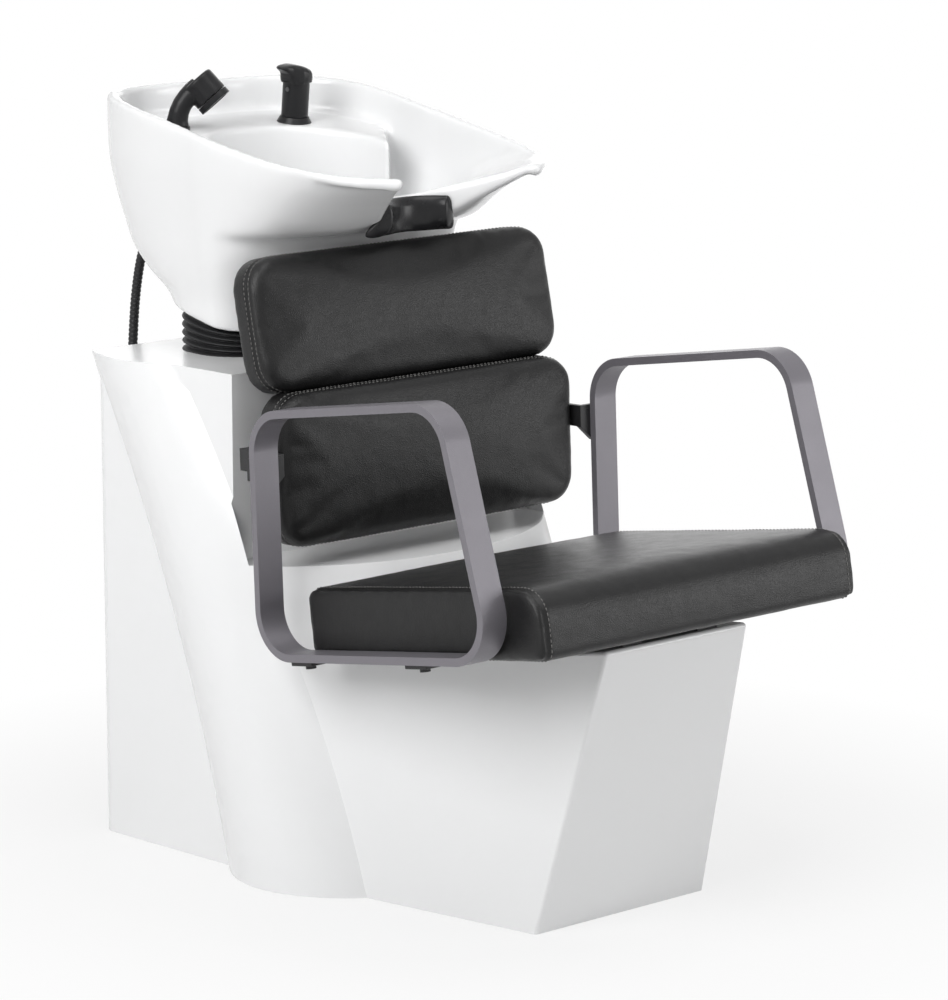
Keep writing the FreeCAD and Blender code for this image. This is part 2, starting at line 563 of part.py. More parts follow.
def back_bracket():
    # One bent flat bar: a tab behind each rear post, arms past the cushion, and a bar behind the board
    thick, reach, side = size("tab_thick"), size("bar_back"), size("arm_side")
    edge = size("arm_outer_half") - size("bolt_r") / 2
    half = [(edge, 0), (edge, thick), (side + thick, thick), (side + thick, reach + thick)]
    inner = [(side, reach), (side, 0)]
    ring = [Vector(x, y, 0) for x, y in half] + [Vector(-x, y, 0) for x, y in reversed(half)]
    ring += [Vector(-x, y, 0) for x, y in reversed(inner)] + [Vector(x, y, 0) for x, y in inner]
    bar = Part.Face(Part.makePolygon(ring + ring[:1])).extrude(Vector(0, 0, size("tab_height")))
    low, far = size("gusset_drop"), size("gusset_reach")
    for sign in (-1, 1):
        web = [Vector(sign * side, 0, 0), Vector(sign * (side + far), 0, 0),
               Vector(sign * (side + far), 0, -low)]
        bar = bar.fuse(Part.Face(Part.makePolygon(web + web[:1])).extrude(Vector(0, thick, 0)))
    hole_r = size("bolt_r") + size("bolt_clear")
    middle = size("arm_outer_half") - size("arm_bar_width") / 2
    for sign in (-1, 1):
        bar = bar.cut(Part.makeCylinder(hole_r, 3 * thick,
                                        Vector(sign * middle, -thick, size("tab_height") / 2),
                                        Vector(0, 1, 0)))
        bar = bar.cut(Part.makeCylinder(hole_r, 3 * thick,
                                        Vector(sign * size("spine_x"), reach - thick, size("tab_height") / 2),
                                        Vector(0, 1, 0)))
    bar = bar.removeSplitter()
    lift = Placement(Vector(0, 0, size("tab_z")), Rotation())
    node(solid("back_bracket", bar), "back_bracket", back_frame.multiply(lift))
    places = (("bracket_bolts", "arm_outer_half - arm_bar_width / 2", "tab_thick",
               "tab_thick + arm_bar_thick / 2"),
              ("spine_bolts", "spine_x", "bar_back + tab_thick", "tab_thick + spine_thick"))
    for label, x, y, length in places:
        bolts = []
        for i, sign in enumerate(("-", "")):
            spot = (sign + "(" + x + ")", y, "tab_height / 2")
            head = rod(label + "_head_%d" % i, "bolt_head_r", "bolt_head", *spot, along=(0, 1, 0))
            shank = rod(label + "_shank_%d" % i, "bolt_r", length, *spot, along=(0, -1, 0))
            bolts.append(fuse(label + "_%d" % i, head, shank))
        node(group(label, *bolts), label, back_frame.multiply(lift))


def cushion(height):
    # Built lying on its back: X across, Y up the cushion, Z from its front seam to its rear
    rings = []
    for depth, inset in CUSHION_SHARES:
        level = depth * (size("cushion_crown") if depth < 0 else size("cushion_depth"))
        trim = inset * size("cushion_corner")
        corner = size("cushion_corner") * (1 - inset / 2)
        rings.append(pillow_outline(size("cushion_half_width") - trim, height / 2 - trim, corner,
                                    size("cushion_draw_in"), -level))
    pad = Part.makeLoft(rings, True, False)
    pad.rotate(Vector(), Vector(1, 0, 0), 90)
    pad.translate(Vector(0, 0, height / 2))
    return pad


def upper_frame():
    top = size("lower_bottom") + size("lower_height") + size("upper_gap")
    turn = Rotation(Vector(1, 0, 0), -(size("upper_recline") + arm_lean - size("seat_tilt")))
    return back_frame.multiply(Placement(Vector(0, size("lower_seam") + size("upper_set"), top), turn))


def back_cushions():
    lower = back_frame.multiply(Placement(Vector(0, size("lower_seam"), size("lower_bottom")), Rotation()))
    inset = size("back_board_inset")
    for name, height, frame in (("lower", "lower_height", lower), ("upper", "upper_height", upper_frame())):
        node(solid(name + "_back_cushion", cushion(size(height))), name + "_back_cushion", frame)
        board = plate(name + "_back_board", "2 * (cushion_half_width - back_board_inset)",
                      height + " - 2 * back_board_inset", "back_board_thick")
        stand = Placement(Vector(0, size("cushion_depth"), size(height) / 2), Rotation(Vector(1, 0, 0), -90))
        node(board, name + "_back_board", frame.multiply(stand))


def back_spines():
    # Two bent straps behind the boards, which carry the upper cushion on the lower one
    top = upper_frame()
    away = size("cushion_depth") + size("back_board_thick")
    foot = size("lower_bottom") + size("back_board_inset") + size("spine_end")
    head = size("upper_height") - size("back_board_inset") - size("spine_end")
    thick = size("spine_thick")
    lower = lambda y, z: back_frame.multVec(Vector(0, size("lower_seam") + y, z))
    upper = lambda y, z: top.multVec(Vector(0, y, z))
    bend = size("lower_bottom") + size("lower_height") - size("spine_end")
    kink = size("spine_end") / 2
    outline = [lower(away, foot), lower(away, bend), upper(away, kink), upper(away, head),
               upper(away + thick, head), upper(away + thick, kink), lower(away + thick, bend),
               lower(away + thick, foot)]
    for side, sign in (("right", -1), ("left", 1)):
        strap = Part.Face(Part.makePolygon(outline + outline[:1])).extrude(Vector(size("spine_width"), 0, 0))
        strap.translate(Vector(sign * size("spine_x") - size("spine_width") / 2, 0, 0))
        hole_r = size("bolt_r") + size("bolt_clear")
        hole = Part.makeCylinder(hole_r, 4 * thick, Vector(0, -thick, 0), Vector(0, 1, 0))
        hole.Placement = back_frame.multiply(Placement(
            Vector(sign * size("spine_x"), size("bar_back") - 2 * thick,
                   size("tab_z") + size("tab_height") / 2),
            Rotation()))
        node(solid("back_spine_" + side, strap.cut(hole)), "back_spine_" + side)
    screws = []
    for sign in (-1, 1):
        for place, height in ((lower, foot + size("spine_end") / 2), (upper, head - size("spine_end") / 2)):
            start = place(away + thick, height)
            out = (place(away + 2 * thick, height) - start).normalize()
            start.x = sign * size("spine_x")
            screws.append(Part.makeCylinder(size("back_screw_head_r"), size("back_screw_head"), start, out))
    node(solid("back_screws", Part.makeCompound(screws)), "back_screws")


def bowl_outline(shares, power):
    rings = []
    count = (len(shares) - 1) * (SECTIONS_BETWEEN + 1)
    for i in range(count + 1):
        level, width, front, rear = eased(shares, i / (SECTIONS_BETWEEN + 1))
        rings.append(oval(level * size("rim_rear_z"), width * size("collar_half_width"),
                          front * size("deck_y"),
                          rear * size("deck_y"), size("bowl_widest_y"), power, REAR_POWER))
    return Part.makeLoft(rings, True, True)


def bowl():
    far = 2 * size("rim_rear_z")
    outer = bowl_outline(OUTER_SHARES, FRONT_POWER)
    inner = bowl_outline(INNER_SHARES, BASIN_POWER)
    # The deck behind the basin stays solid below its sloping top, round the basin's rear end
    deck = Part.makeBox(far, far, far, Vector(-far / 2, -far / 2, -far))
    deck.Placement = deck_frame
    side = size("deck_side_x")
    right = [Vector(size("deck_tip_x"), size("deck_tip_y"), 0), Vector(side, size("deck_side_y"), 0),
             Vector(side, far, 0)]
    plan = right + [Vector(-p.x, p.y, 0) for p in reversed(right)]
    behind = Part.Face(Part.makePolygon(plan + plan[:1])).extrude(Vector(0, 0, far))
    round_end = Part.makeCylinder(size("basin_r"), far, Vector(0, size("basin_y"), 0))
    inner = inner.cut(deck.common(behind).cut(round_end))
    # The rim falls from the rear to the front
    rim = Part.BSplineCurve()
    rim.interpolate([Vector(-far / 2, y * size("deck_y"), z * size("rim_rear_z")) for y, z in RIM_SHARES])
    first, last = rim.StartPoint, rim.EndPoint
    cover = Part.Wire([rim.toShape(), Part.makeLine(last, Vector(last.x, last.y, far)),
                       Part.makeLine(Vector(last.x, last.y, far), Vector(first.x, first.y, far)),
                       Part.makeLine(Vector(first.x, first.y, far), first)])
    above = Part.Face(cover).extrude(Vector(far, 0, 0))
    # The neck notch: a round bottom with sides that open out to the two horns
    middle = Vector(0, size("notch_y"), 0)
    horn = Vector(size("horn_x"), size("horn_y"), 0)
    span = horn - middle
    lean = math.atan2(span.y, span.x) + math.acos(size("notch_r") / span.Length)
    touch = middle + Vector(math.cos(lean), math.sin(lean), 0) * size("notch_r")
    run = (horn - touch).normalize() * far / 4
    mirror = lambda p: Vector(-p.x, p.y, p.z)
    out = horn + run
    notch = Part.Wire([Part.makeLine(out, touch),
                       Part.Arc(touch, middle + Vector(0, size("notch_r"), 0), mirror(touch)).toShape(),
                       Part.makeLine(mirror(touch), mirror(out)), Part.makeLine(mirror(out), out)])
    notch = Part.Face(notch).extrude(Vector(0, 0, far))
    notch.translate(Vector(0, 0, size("bowl_underside")))
    # Room under the deck, open to the rear, for the fittings
    pocket = Part.makeBox(2 * size("pocket_half"), far, size("pocket_depth") - size("deck_thick"),
                          Vector(-size("pocket_half"), size("pocket_front"), -size("pocket_depth")))
    pocket.Placement = deck_frame
    wall_r = size("basin_r") + size("basin_wall")
    pocket = pocket.cut(Part.makeCylinder(wall_r, far, Vector(0, size("basin_y"), 0)))
    # The collar under the bowl ends in a tilted plane and is hollow up to the basin's underside
    below = Part.makeBox(far, far, far, Vector(-far / 2, -far / 2, -far))
    below.Placement = tilted(size("collar_centre_y"), size("collar_z"), size("collar_tilt"))
    half_width = size("collar_half_width") - size("collar_wall")
    half_depth = size("collar_half_depth") - size("collar_wall")
    middle_y = size("collar_centre_y")
    ring = oval(0, half_width, middle_y - half_depth, middle_y + half_depth, middle_y, COLLAR_POWER,
                COLLAR_POWER)
    hollow = Part.Face(ring).extrude(Vector(0, 0, size("bowl_underside")))
    shape = outer.cut(above).cut(inner).cut(notch).cut(pocket).cut(below).cut(hollow)
    drains = Part.makeCylinder(size("drain_tube_r") + size("hole_clear"), far, Vector(0, size("drain_y"), 0))
    shape = shape.cut(drains)
    for x, y, r in (("mixer_x", "mixer_y", "mixer_tail_r"), ("shower_x", "shower_y", "holder_tail_r")):
        hole = Part.makeCylinder(size(r) + size("hole_clear"), 4 * size("deck_thick"),
                                 Vector(size(x), size(y), -2 * size("deck_thick")))
        hole.Placement = deck_frame
        shape = shape.cut(hole)
    biggest = max(shape.Solids, key=lambda s: s.Volume)
    node(solid("bowl", biggest), "bowl")
    spread = size("neck_rest_spread")
    outer_r = size("notch_r") - size("seat_clear")
    rest = Part.makeCylinder(outer_r, size("neck_rest_top") - size("neck_rest_bottom"),
                             Vector(0, size("notch_y"), size("neck_rest_bottom")), Vector(0, 0, 1),
                             2 * spread)
    rest.rotate(Vector(0, size("notch_y"), 0), Vector(0, 0, 1), 90 - spread)
    rest = rest.cut(Part.makeCylinder(outer_r - size("neck_rest_thick"), far, Vector(0, size("notch_y"), 0)))
    node(solid("neck_rest", rest), "neck_rest")


def drain():
    flange = rod("drain_flange_disc", "drain_flange_r", "drain_flange", "0", "drain_y", "basin_floor")
    tube = rod("drain_tube", "drain_tube_r", "basin_floor + drain_flange - drain_end", "0", "drain_y",
               "drain_end")
    bore = rod("drain_bore", "drain_bore_r", "2 * basin_floor", "0", "drain_y", "drain_end - overrun")
    node(cut("drain_waste", fuse("drain_solid", flange, tube), bore), "drain_waste")
    under = "bowl_underside - drain_seal"
    washer = rod("drain_washer_disc", "drain_nut_r", "drain_seal", "0", "drain_y", under)
    washer_hole = rod("drain_washer_hole", "drain_tube_r + bolt_clear", "3 * drain_seal", "0", "drain_y",
                      under + " - drain_seal")
    node(cut("drain_seal", washer, washer_hole), "drain_seal")
    nut = rod("drain_nut_disc", "drain_nut_r - drain_seal", "drain_nut", "0", "drain_y",
              under + " - drain_nut")
    nut_hole = rod("drain_nut_hole", "drain_tube_r + bolt_clear", "3 * drain_nut", "0", "drain_y",
                   under + " - 2 * drain_nut")
    node(cut("drain_nut", nut, nut_hole), "drain_nut")
    disc = rod("strainer_disc", "strainer_r", "strainer_thick", "0", "drain_y", "basin_floor + drain_flange")
    holes = []
    for i in range(8):
        turn = "%d * 45deg" % i
        holes.append(rod("strainer_hole_%d" % i, "strainer_hole_r", "4 * strainer_thick",
                         "strainer_pitch_r * cos(%s)" % turn, "drain_y + strainer_pitch_r * sin(%s)" % turn,
                         "basin_floor"))
    node(cut("strainer", disc, *holes), "strainer")


def tilt_hinge():
    # The fixed half stands on the column's top, the moving half hangs from the bowl
    holes = [(sx * size("hinge_bolt_x"), sy * size("hinge_bolt_y")) for sx in (-1, 1) for sy in (-1, 1)]
    for label, x, level, reach in (("hinge_base", "base_lug_x", "column_height", 1),
                                   ("hinge_head", "head_lug_x", "bowl_underside - hinge_plate_thick", -1)):
        sheet_metal = block(label + "_sheet", "hinge_plate_width / 2", "hinge_plate_depth",
                            "hinge_plate_thick",
                            "pivot_y - hinge_plate_depth / 2", level)
        pieces = [sheet_metal]
        for side, sign in (("right", "-"), ("left", "")):
            spot = sign + x + " - lug_thick / 2"
            pieces.append(rod(label + "_eye_" + side, "lug_r", "lug_thick", spot, "pivot_y", "pivot_z",
                              (1, 0, 0)))
            low, high = ("column_height", "pivot_z") if reach > 0 else ("pivot_z", "bowl_underside")
            pieces.append(box(label + "_web_" + side, "lug_thick", "2 * lug_r", high + " - " + low, spot,
                              "pivot_y - lug_r", low))
        tools = [rod(label + "_bore", "pin_r + pin_clear", "2 * hinge_plate_width", "-hinge_plate_width",
                     "pivot_y",
                     "pivot_z", (1, 0, 0)),
                 block(label + "_window", "drain_window / 2", "hinge_plate_depth", "4 * hinge_plate_thick",
                       "drain_y + drain_window / 2 - hinge_plate_depth", level + " - hinge_plate_thick")]
        for i, (dx, dy) in enumerate(holes):
            tools.append(rod(label + "_hole_%d" % i, "bolt_r + bolt_clear", "3 * hinge_plate_thick",
                             "%g" % dx,
                             "pivot_y + %g" % dy, level + " - hinge_plate_thick"))
        node(cut(label, fuse(label + "_solid", *pieces), *tools), label)
    pin_start = "-base_lug_x - lug_thick / 2 - pin_head"
    shaft = rod("pin_shaft", "pin_r", "2 * base_lug_x + lug_thick + pin_head", pin_start,
                "pivot_y", "pivot_z", (1, 0, 0))
    cap = rod("pin_cap", "pin_head_r", "pin_head", "base_lug_x + lug_thick / 2", "pivot_y", "pivot_z",
              (1, 0, 0))
    node(fuse("hinge_pin", shaft, cap), "hinge_pin")
    bolts = []
    for i, (dx, dy) in enumerate(holes):
        if dy > 0:
            head = rod("hinge_head_%d" % i, "bolt_head_r", "bolt_head", "%g" % dx, "pivot_y + %g" % dy,
                       "column_height + hinge_plate_thick")
            bolts.append(head)
    node(group("hinge_bolts", *bolts), "hinge_bolts")


def bellows():
    # Pleats between the column's flat top and the collar's tilted end
    count = int(size("bellows_pleats"))
    low = Placement(Vector(0, size("collar_centre_y"), size("column_height")), Rotation())
    lift = size("seat_clear")
    lean = math.cos(math.radians(size("collar_tilt")))
    high = tilted(size("collar_centre_y"), size("collar_z") - lift / lean,
                  size("collar_tilt"))

    def ring(share, grow):
        height = low.Base + (high.Base - low.Base) * share
        frame = tilted(height.y, height.z, size("collar_tilt") * share)
        half_x = size("bellows_half_width") + grow
        half_y = size("bellows_half_depth") + grow
        wire = pillow_outline(half_x, half_y, half_y * BELLOWS_END_SHARE, half_y * (BELLOWS_END_SHARE - 1), 0)
        wire.Placement = frame
        return wire

    def skin(grow):
        rings = []
        for i in range(2 * count + 1):
            rings.append(ring(i / (2 * count), grow - (size("bellows_pleat") if i % 2 else 0)))
        return rings

    outer = Part.makeLoft(skin(0), True, True)
    inner = Part.makeLoft(skin(-size("bellows_wall")), True, True)
    node(solid("bellows", outer.cut(inner)), "bellows")


def mixer():
    spot = Placement(Vector(size("mixer_x"), size("mixer_y"), 0), Rotation())
    frame = deck_frame.multiply(spot)
    top = "mixer_ring + mixer_body"
    bore = rod("mixer_bore", "cartridge_r + cartridge_clear", "mixer_body", z="mixer_ring")
    ring = doc.addObject("Part::Cone", "mixer_ring_cone")
    bind(ring, Radius1="mixer_ring_r", Radius2="mixer_body_r + 2 * mark_proud", Height="mixer_ring")
    tail = rod("mixer_tail", "mixer_tail_r", "tail_length", z="-tail_length")
    node(fuse("mixer_base", ring, tail), "mixer_base", frame)
    column = rod("mixer_column", "mixer_body_r", "mixer_body", z="mixer_ring")
    dome = ball("mixer_dome", "mixer_body_r", z=top)
    stem_hole = rod("mixer_stem_hole", "spindle_r + spindle_clear", "2 * mixer_body_r", z=top)
    node(cut("mixer_body", fuse("mixer_form", column, dome), bore, stem_hole), "mixer_body", frame)
    core = rod("cartridge_core", "cartridge_r", "mixer_body - cartridge_clear", z="mixer_ring")
    node(group("mixer_cartridge", core), "mixer_cartridge", frame)
    stem = rod("spindle_stem", "spindle_r", "lever_inner_r - 2.5 * seat_clear", z=top)
    node(group("mixer_spindle", stem), "mixer_spindle", frame)
    outside = ball("lever_ball", "lever_r", z=top)
    handle = Part.makeLoft([
        lever_section(size("lever_reach") * reach, size("lever_width") * width, size("lever_rise") * rise,
                      size("lever_thick") * thick) for reach, width, rise, thick in LEVER_SHARES], True,
                      False)
    grip = solid("lever_handle", handle)
    grip.Placement = Placement(Vector(0, 0, size("mixer_ring") + size("mixer_body")), Rotation())
    hollow = ball("lever_hollow", "lever_inner_r", z=top)
    skirt = block("lever_skirt_cut", "2 * lever_r", "4 * lever_r", "2 * lever_r", "-2 * lever_r",
                  top + " - 2 * lever_r + lever_skirt")
    lever = cut("mixer_lever", fuse("lever_form", outside, grip), hollow, skirt)
    heading = Placement(Vector(), Rotation(Vector(0, 0, 1), size("lever_heading")))
    node(lever, "mixer_lever", frame.multiply(heading))
    face = size("mixer_body_r") - size("mark_proud")
    mark = rod("mark_disc", "mark_r", "2 * mark_proud", along=(1, 0, 0))
    dot = cut("mixer_mark_dot", mark, rod("mark_seat", "mixer_body_r", "mixer_body",
                                          "-mixer_body_r + mark_proud",
                                          z="-mixer_body / 2"))
    node(dot, "mixer_mark", frame.multiply(heading).multiply(
        Placement(Vector(face, 0, size("mixer_ring") + size("mixer_body") * MARK_HEIGHT_SHARE), Rotation())))
    nut = rod("mixer_nut_disc", "mixer_nut_r", "mixer_nut", z="-deck_thick - mixer_nut")
    nut_hole = rod("mixer_nut_hole", "mixer_tail_r + bolt_clear", "3 * mixer_nut",
                   z="-deck_thick - 2 * mixer_nut")
    node(cut("mixer_nut", nut, nut_hole), "mixer_nut", frame)
    tails = [rod("supply_" + side, "supply_r", "supply_length", x, "-supply_x / 2",
                 "-tail_length - supply_length")
             for side, x in (("hot", "-supply_x"), ("cold", "supply_x"))]
    node(group("supply_tails", *tails), "supply_tails", frame)


def lever_section(reach, width, rise, thick):
    # A cross-section of the lever, square to its length
    points = [Vector(reach, -width / 2, rise), Vector(reach, width / 2, rise),
              Vector(reach, width / 2, rise + thick), Vector(reach, -width / 2, rise + thick)]
    return rounded(points, thick * LEVER_CORNER_SHARE)


def hand_shower():
    frame = deck_frame.multiply(Placement(Vector(size("shower_x"), size("shower_y"), 0), Rotation()))
    flange = rod("holder_flange", "holder_r", "holder")
    tail = rod("holder_tail", "holder_tail_r", "tail_length", z="-tail_length")
    bore = rod("holder_bore", "holder_bore_r", "tail_length + 2 * holder", z="-tail_length - holder / 2")
    node(cut("shower_holder", fuse("holder_solid", flange, tail), bore), "shower_holder", frame)
    nut = rod("holder_nut_disc", "holder_nut_r", "mixer_nut", z="-deck_thick - mixer_nut")
    nut_hole = rod("holder_nut_hole", "holder_tail_r + bolt_clear", "3 * mixer_nut",
                   z="-deck_thick - 2 * mixer_nut")
    node(cut("holder_nut", nut, nut_hole), "holder_nut", frame)
    # The hand shower: a stem in the holder, a leaning neck, and a head that faces the basin
    centre = Vector(size("head_x"), size("head_y"), size("head_z"))
    dip, turn = math.radians(size("head_dip")), math.radians(size("head_heading"))
    facing = Vector(math.cos(dip) * math.cos(turn), math.cos(dip) * math.sin(turn), -math.sin(dip))
    lift = Vector(0, 0, size("holder") + size("seat_clear"))
    stem = Part.makeCylinder(size("holder_bore_r") - size("stem_clear"), size("stem_length") + size("holder"),
                             Vector(0, 0, size("holder") - size("stem_length")))
    collar = Part.makeCylinder(size("neck_r") * NECK_SHARES[3], size("neck_r") * NECK_SHARES[0], lift)
    root = lift + Vector(0, 0, size("neck_r") * NECK_SHARES[0] * NECK_SHARES[1])
    neck = Part.makeCone(size("neck_r"), size("neck_r") * NECK_SHARES[1],
                         (centre - root).Length * NECK_SHARES[2],
                         root, centre - root)
    back = centre - facing * size("head_length") * HEAD_SHARES[0]
    casing = Part.makeCylinder(size("head_r"), size("head_length"), back, facing)
    edge = [e for e in casing.Edges if e.CenterOfMass.sub(centre).dot(facing) < 0 and e.Closed]
    casing = casing.makeFillet(size("neck_r") / 4, edge[:1])
    body = stem.fuse([collar, neck, casing]).removeSplitter()
    front = centre + facing * size("head_length") * HEAD_SHARES[1]
    ring = Part.makeCylinder(size("head_r"), size("ring_length"), front + facing * size("ring_groove"),
                             facing)
    waist = Part.makeCylinder(size("face_r"), size("ring_groove"), front, facing)
    well = Part.makeCylinder(size("face_r"), size("ring_length"), front + facing * (size("ring_groove") +
                             size("ring_length") - size("face_recess")), facing)
    face = Part.makeCylinder(size("face_r"), size("face_recess") / 2, front + facing * (size("ring_groove") +
                             size("ring_length") - size("face_recess")), facing)
    side = facing.cross(Vector(0, 0, 1)).normalize()
    over = side.cross(facing)
    for i in range(int(size("nozzles"))):
        angle = 2 * math.pi * i / size("nozzles")
        spot = (side * math.cos(angle) + over * math.sin(angle)) * size("nozzle_ring_r")
        face = face.cut(Part.makeCylinder(size("nozzle_r"), size("ring_length"), front + spot, facing))
    node(solid("shower_body", body.fuse(waist).removeSplitter()), "shower_body", frame)
    node(solid("shower_ring", ring.cut(well)), "shower_ring", frame)
    node(solid("spray_face", face), "spray_face", frame)
    ferrule = rod("stub_ferrule", "ferrule_r", "stub_length", z="holder - stem_length - stub_length")
    node(group("shower_stub", ferrule), "shower_stub", frame)


def hose_path(points):
    # Straight runs joined by tangent arcs, each as large as its two runs allow
    edges, start, radii = [], points[0], []
    for before, here, after in zip(points, points[1:], points[2:]):
        back, ahead = before - here, after - here
        turn = math.pi - back.getAngle(ahead)
        reach = ARC_SHARE * min(back.Length, ahead.Length)
        radii.append(reach / math.tan(turn / 2))
        one = here + back.normalize() * reach
        two = here + ahead.normalize() * reach
        bulge = (back + ahead).normalize() * (radii[-1] / math.cos(turn / 2) - radii[-1])
        edges.append(Part.LineSegment(start, one).toShape())
        edges.append(Part.Arc(one, here + bulge, two).toShape())
        start = two
    edges.append(Part.LineSegment(start, points[-1]).toShape())
    print("hose radii", [round(r) for r in radii])
    return Part.Wire(edges)


def hose():
    shower = deck_frame.multiply(Placement(Vector(size("shower_x"), size("shower_y"), 0), Rotation()))
    mixer_end = Vector(size("mixer_x"), size("mixer_y") + size("supply_x"), 0)
    mixer_spot = deck_frame.multiply(Placement(mixer_end, Rotation()))
    start = size("holder") - size("stem_length") - size("stub_length") - size("seat_clear")
    end = -size("tail_length")
    route = [shower.multVec(Vector(0, 0, start)), shower.multVec(Vector(0, 0, start - size("hose_lead")))]
    for x, y, z in HOSE_SHARES:
        route.append(Vector(x * size("mixer_x"), y * size("deck_y"), z * size("deck_z")))
    route += [mixer_spot.multVec(Vector(0, 0, end - size("hose_lead"))),
              mixer_spot.multVec(Vector(0, 0, end))]
    path = hose_path(route)
    ribs, length = int(size("hose_ribs")), path.Length
    plain = 2 * size("hose_r")
    pitch = (length - 2 * plain) / ribs
    deep, full = size("hose_r") - size("hose_rib_depth"), size("hose_r")
    stations = [(0.0, deep), (plain, deep)]
    for i in range(ribs):
        start = plain + i * pitch
        stations += [(start + pitch * along, full if high else deep) for along, high in RIB_SHARES]
    stations.append((length, deep))
    outer, inner = [], []
    for along, radius in stations:
        point, ahead = place_along(path, along)
        outer.append(ring_at(point, ahead, radius))
        inner.append(ring_at(point, ahead, size("hose_bore_r")))
    skin = Part.makeLoft(outer, True, True)
    bore = Part.makeLoft(inner[:1] + inner[1:-1:8] + inner[-1:], True, True)
    shape = skin.cut(bore)
    print("hose length", round(length), "valid", shape.isValid(), "faces", len(shape.Faces))
    node(solid("shower_hose", shape), "shower_hose")


def place_along(path, along):
    for edge in path.Edges:
        if along <= edge.Length or edge.isSame(path.Edges[-1]):
            at_length = edge.getParameterByLength(min(along, edge.Length))
            return edge.valueAt(at_length), edge.tangentAt(at_length)
        along -= edge.Length


def ring_at(point, ahead, radius):
    # A circle square to the hose whose start stays on the X side
    frame = Rotation(Vector(1, 0, 0), Vector(0, 0, 0), ahead, "ZXY")
    circle = Part.Wire(Part.makeCircle(radius))
    circle.Placement = Placement(point, frame)
    return circle


base_shell()
service_panel()
inner_steel()
seat()
seat_steel()
armrests()
back_bracket()
back_cushions()
back_spines()
bowl()
drain()
tilt_hinge()
bellows()
mixer()
hand_shower()
hose()

doc.recompute()
for obj in doc.Objects:
    if "Invalid" in obj.State or "Error" in obj.State:
        raise RuntimeError("failed: " + obj.Label)
for obj in nodes:
    if obj.Shape.isNull() or not obj.Shape.isValid():
        raise RuntimeError("bad shape: " + obj.Label)

os.makedirs("parts", exist_ok=True)
for obj in nodes:
    obj.Shape.exportStep("parts/%s.step" % obj.Label)
print(len(nodes), "nodes written")
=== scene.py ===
import math

import bmesh
import bpy
from mathutils import Matrix, Vector, noise
from mathutils.bvhtree import BVHTree


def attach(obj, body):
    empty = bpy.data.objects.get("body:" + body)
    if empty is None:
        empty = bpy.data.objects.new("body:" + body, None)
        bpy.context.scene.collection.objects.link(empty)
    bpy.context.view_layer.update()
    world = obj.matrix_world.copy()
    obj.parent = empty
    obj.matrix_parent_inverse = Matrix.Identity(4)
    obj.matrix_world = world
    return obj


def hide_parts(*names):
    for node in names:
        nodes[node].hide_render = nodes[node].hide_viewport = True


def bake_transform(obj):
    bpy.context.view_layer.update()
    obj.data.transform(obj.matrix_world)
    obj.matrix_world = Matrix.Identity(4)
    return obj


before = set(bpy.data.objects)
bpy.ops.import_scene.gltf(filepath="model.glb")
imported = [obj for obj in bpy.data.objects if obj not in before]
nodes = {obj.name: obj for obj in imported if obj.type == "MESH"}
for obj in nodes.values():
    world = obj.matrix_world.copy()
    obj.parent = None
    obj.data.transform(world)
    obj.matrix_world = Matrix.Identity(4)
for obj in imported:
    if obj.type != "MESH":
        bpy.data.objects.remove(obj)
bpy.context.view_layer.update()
finishes = {}
mergeDistance = 1e-5
tiny = 1e-9
perMetre = 1000  # for the lists that are in millimetres


def pick(obj):
    if bpy.context.object and bpy.context.object.mode != "OBJECT":
        bpy.ops.object.mode_set(mode="OBJECT")
    bpy.ops.object.select_all(action="DESELECT")
    obj.select_set(True)
    bpy.context.view_layer.objects.active = obj


def useModifier(obj, kind, **settings):
    pick(obj)
    modifier = obj.modifiers.new(kind.lower(), kind)
    for key, value in settings.items():
        setattr(modifier, key, value)
    bpy.ops.object.modifier_apply(modifier=modifier.name)


def remesh(obj, voxel):
    useModifier(obj, "REMESH", mode="VOXEL", voxel_size=voxel)


def relax(obj, passes):
    useModifier(obj, "SMOOTH", factor=0.5, iterations=passes)


def fatten(piece, distance):
    # moves the skin outwards along its own normals
    normals = [v.normal.copy() for v in piece.data.vertices]
    for vert, normal in zip(piece.data.vertices, normals):
        vert.co += normal * distance
    piece.data.update()


def smooth(obj):
    for face in obj.data.polygons:
        face.use_smooth = True


def newPiece(name, data):
    obj = bpy.data.objects.new(name, data)
    bpy.context.scene.collection.objects.link(obj)
    return obj


def meshPiece(name, bm):
    mesh = bpy.data.meshes.new(name)
    bm.to_mesh(mesh)
    bm.free()
    return newPiece(name, mesh)


def copyNode(node, name):
    piece = newPiece(name, nodes[node].data.copy())
    piece.data.name = name
    piece.data.materials.clear()
    pick(piece)
    bpy.ops.object.mode_set(mode="EDIT")
    bpy.ops.mesh.select_all(action="SELECT")
    bpy.ops.mesh.remove_doubles(threshold=mergeDistance)
    bpy.ops.mesh.customdata_custom_splitnormals_clear()
    bpy.ops.object.mode_set(mode="OBJECT")
    return piece


def place(y, z, degrees):
    return Matrix.Translation((0, y, z)) @ Matrix.Rotation(math.radians(degrees), 4, "X")


def paint(obj, finish):
    obj.data.materials.clear()
    obj.data.materials.append(finishes[finish])


def dress(obj, finish, body):
    paint(obj, finish)
    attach(obj, body)


# Rings of points, and the skins that join them
def ringRound(bm, centre, side, over, radius, count, spot=Matrix()):
    return [bm.verts.new(spot @ (centre + (side * math.cos(a) + over * math.sin(a)) * radius))
            for a in (2 * math.pi * k / count for k in range(count))]


def ovalPoints(count, power):
    # a rounded rectangle that reaches one unit to each side
    points = []
    for k in range(count):
        angle = 2 * math.pi * k / count
        points.append([math.copysign(abs(c) ** (2 / power), c) for c in (math.cos(angle), math.sin(angle))])
    return points


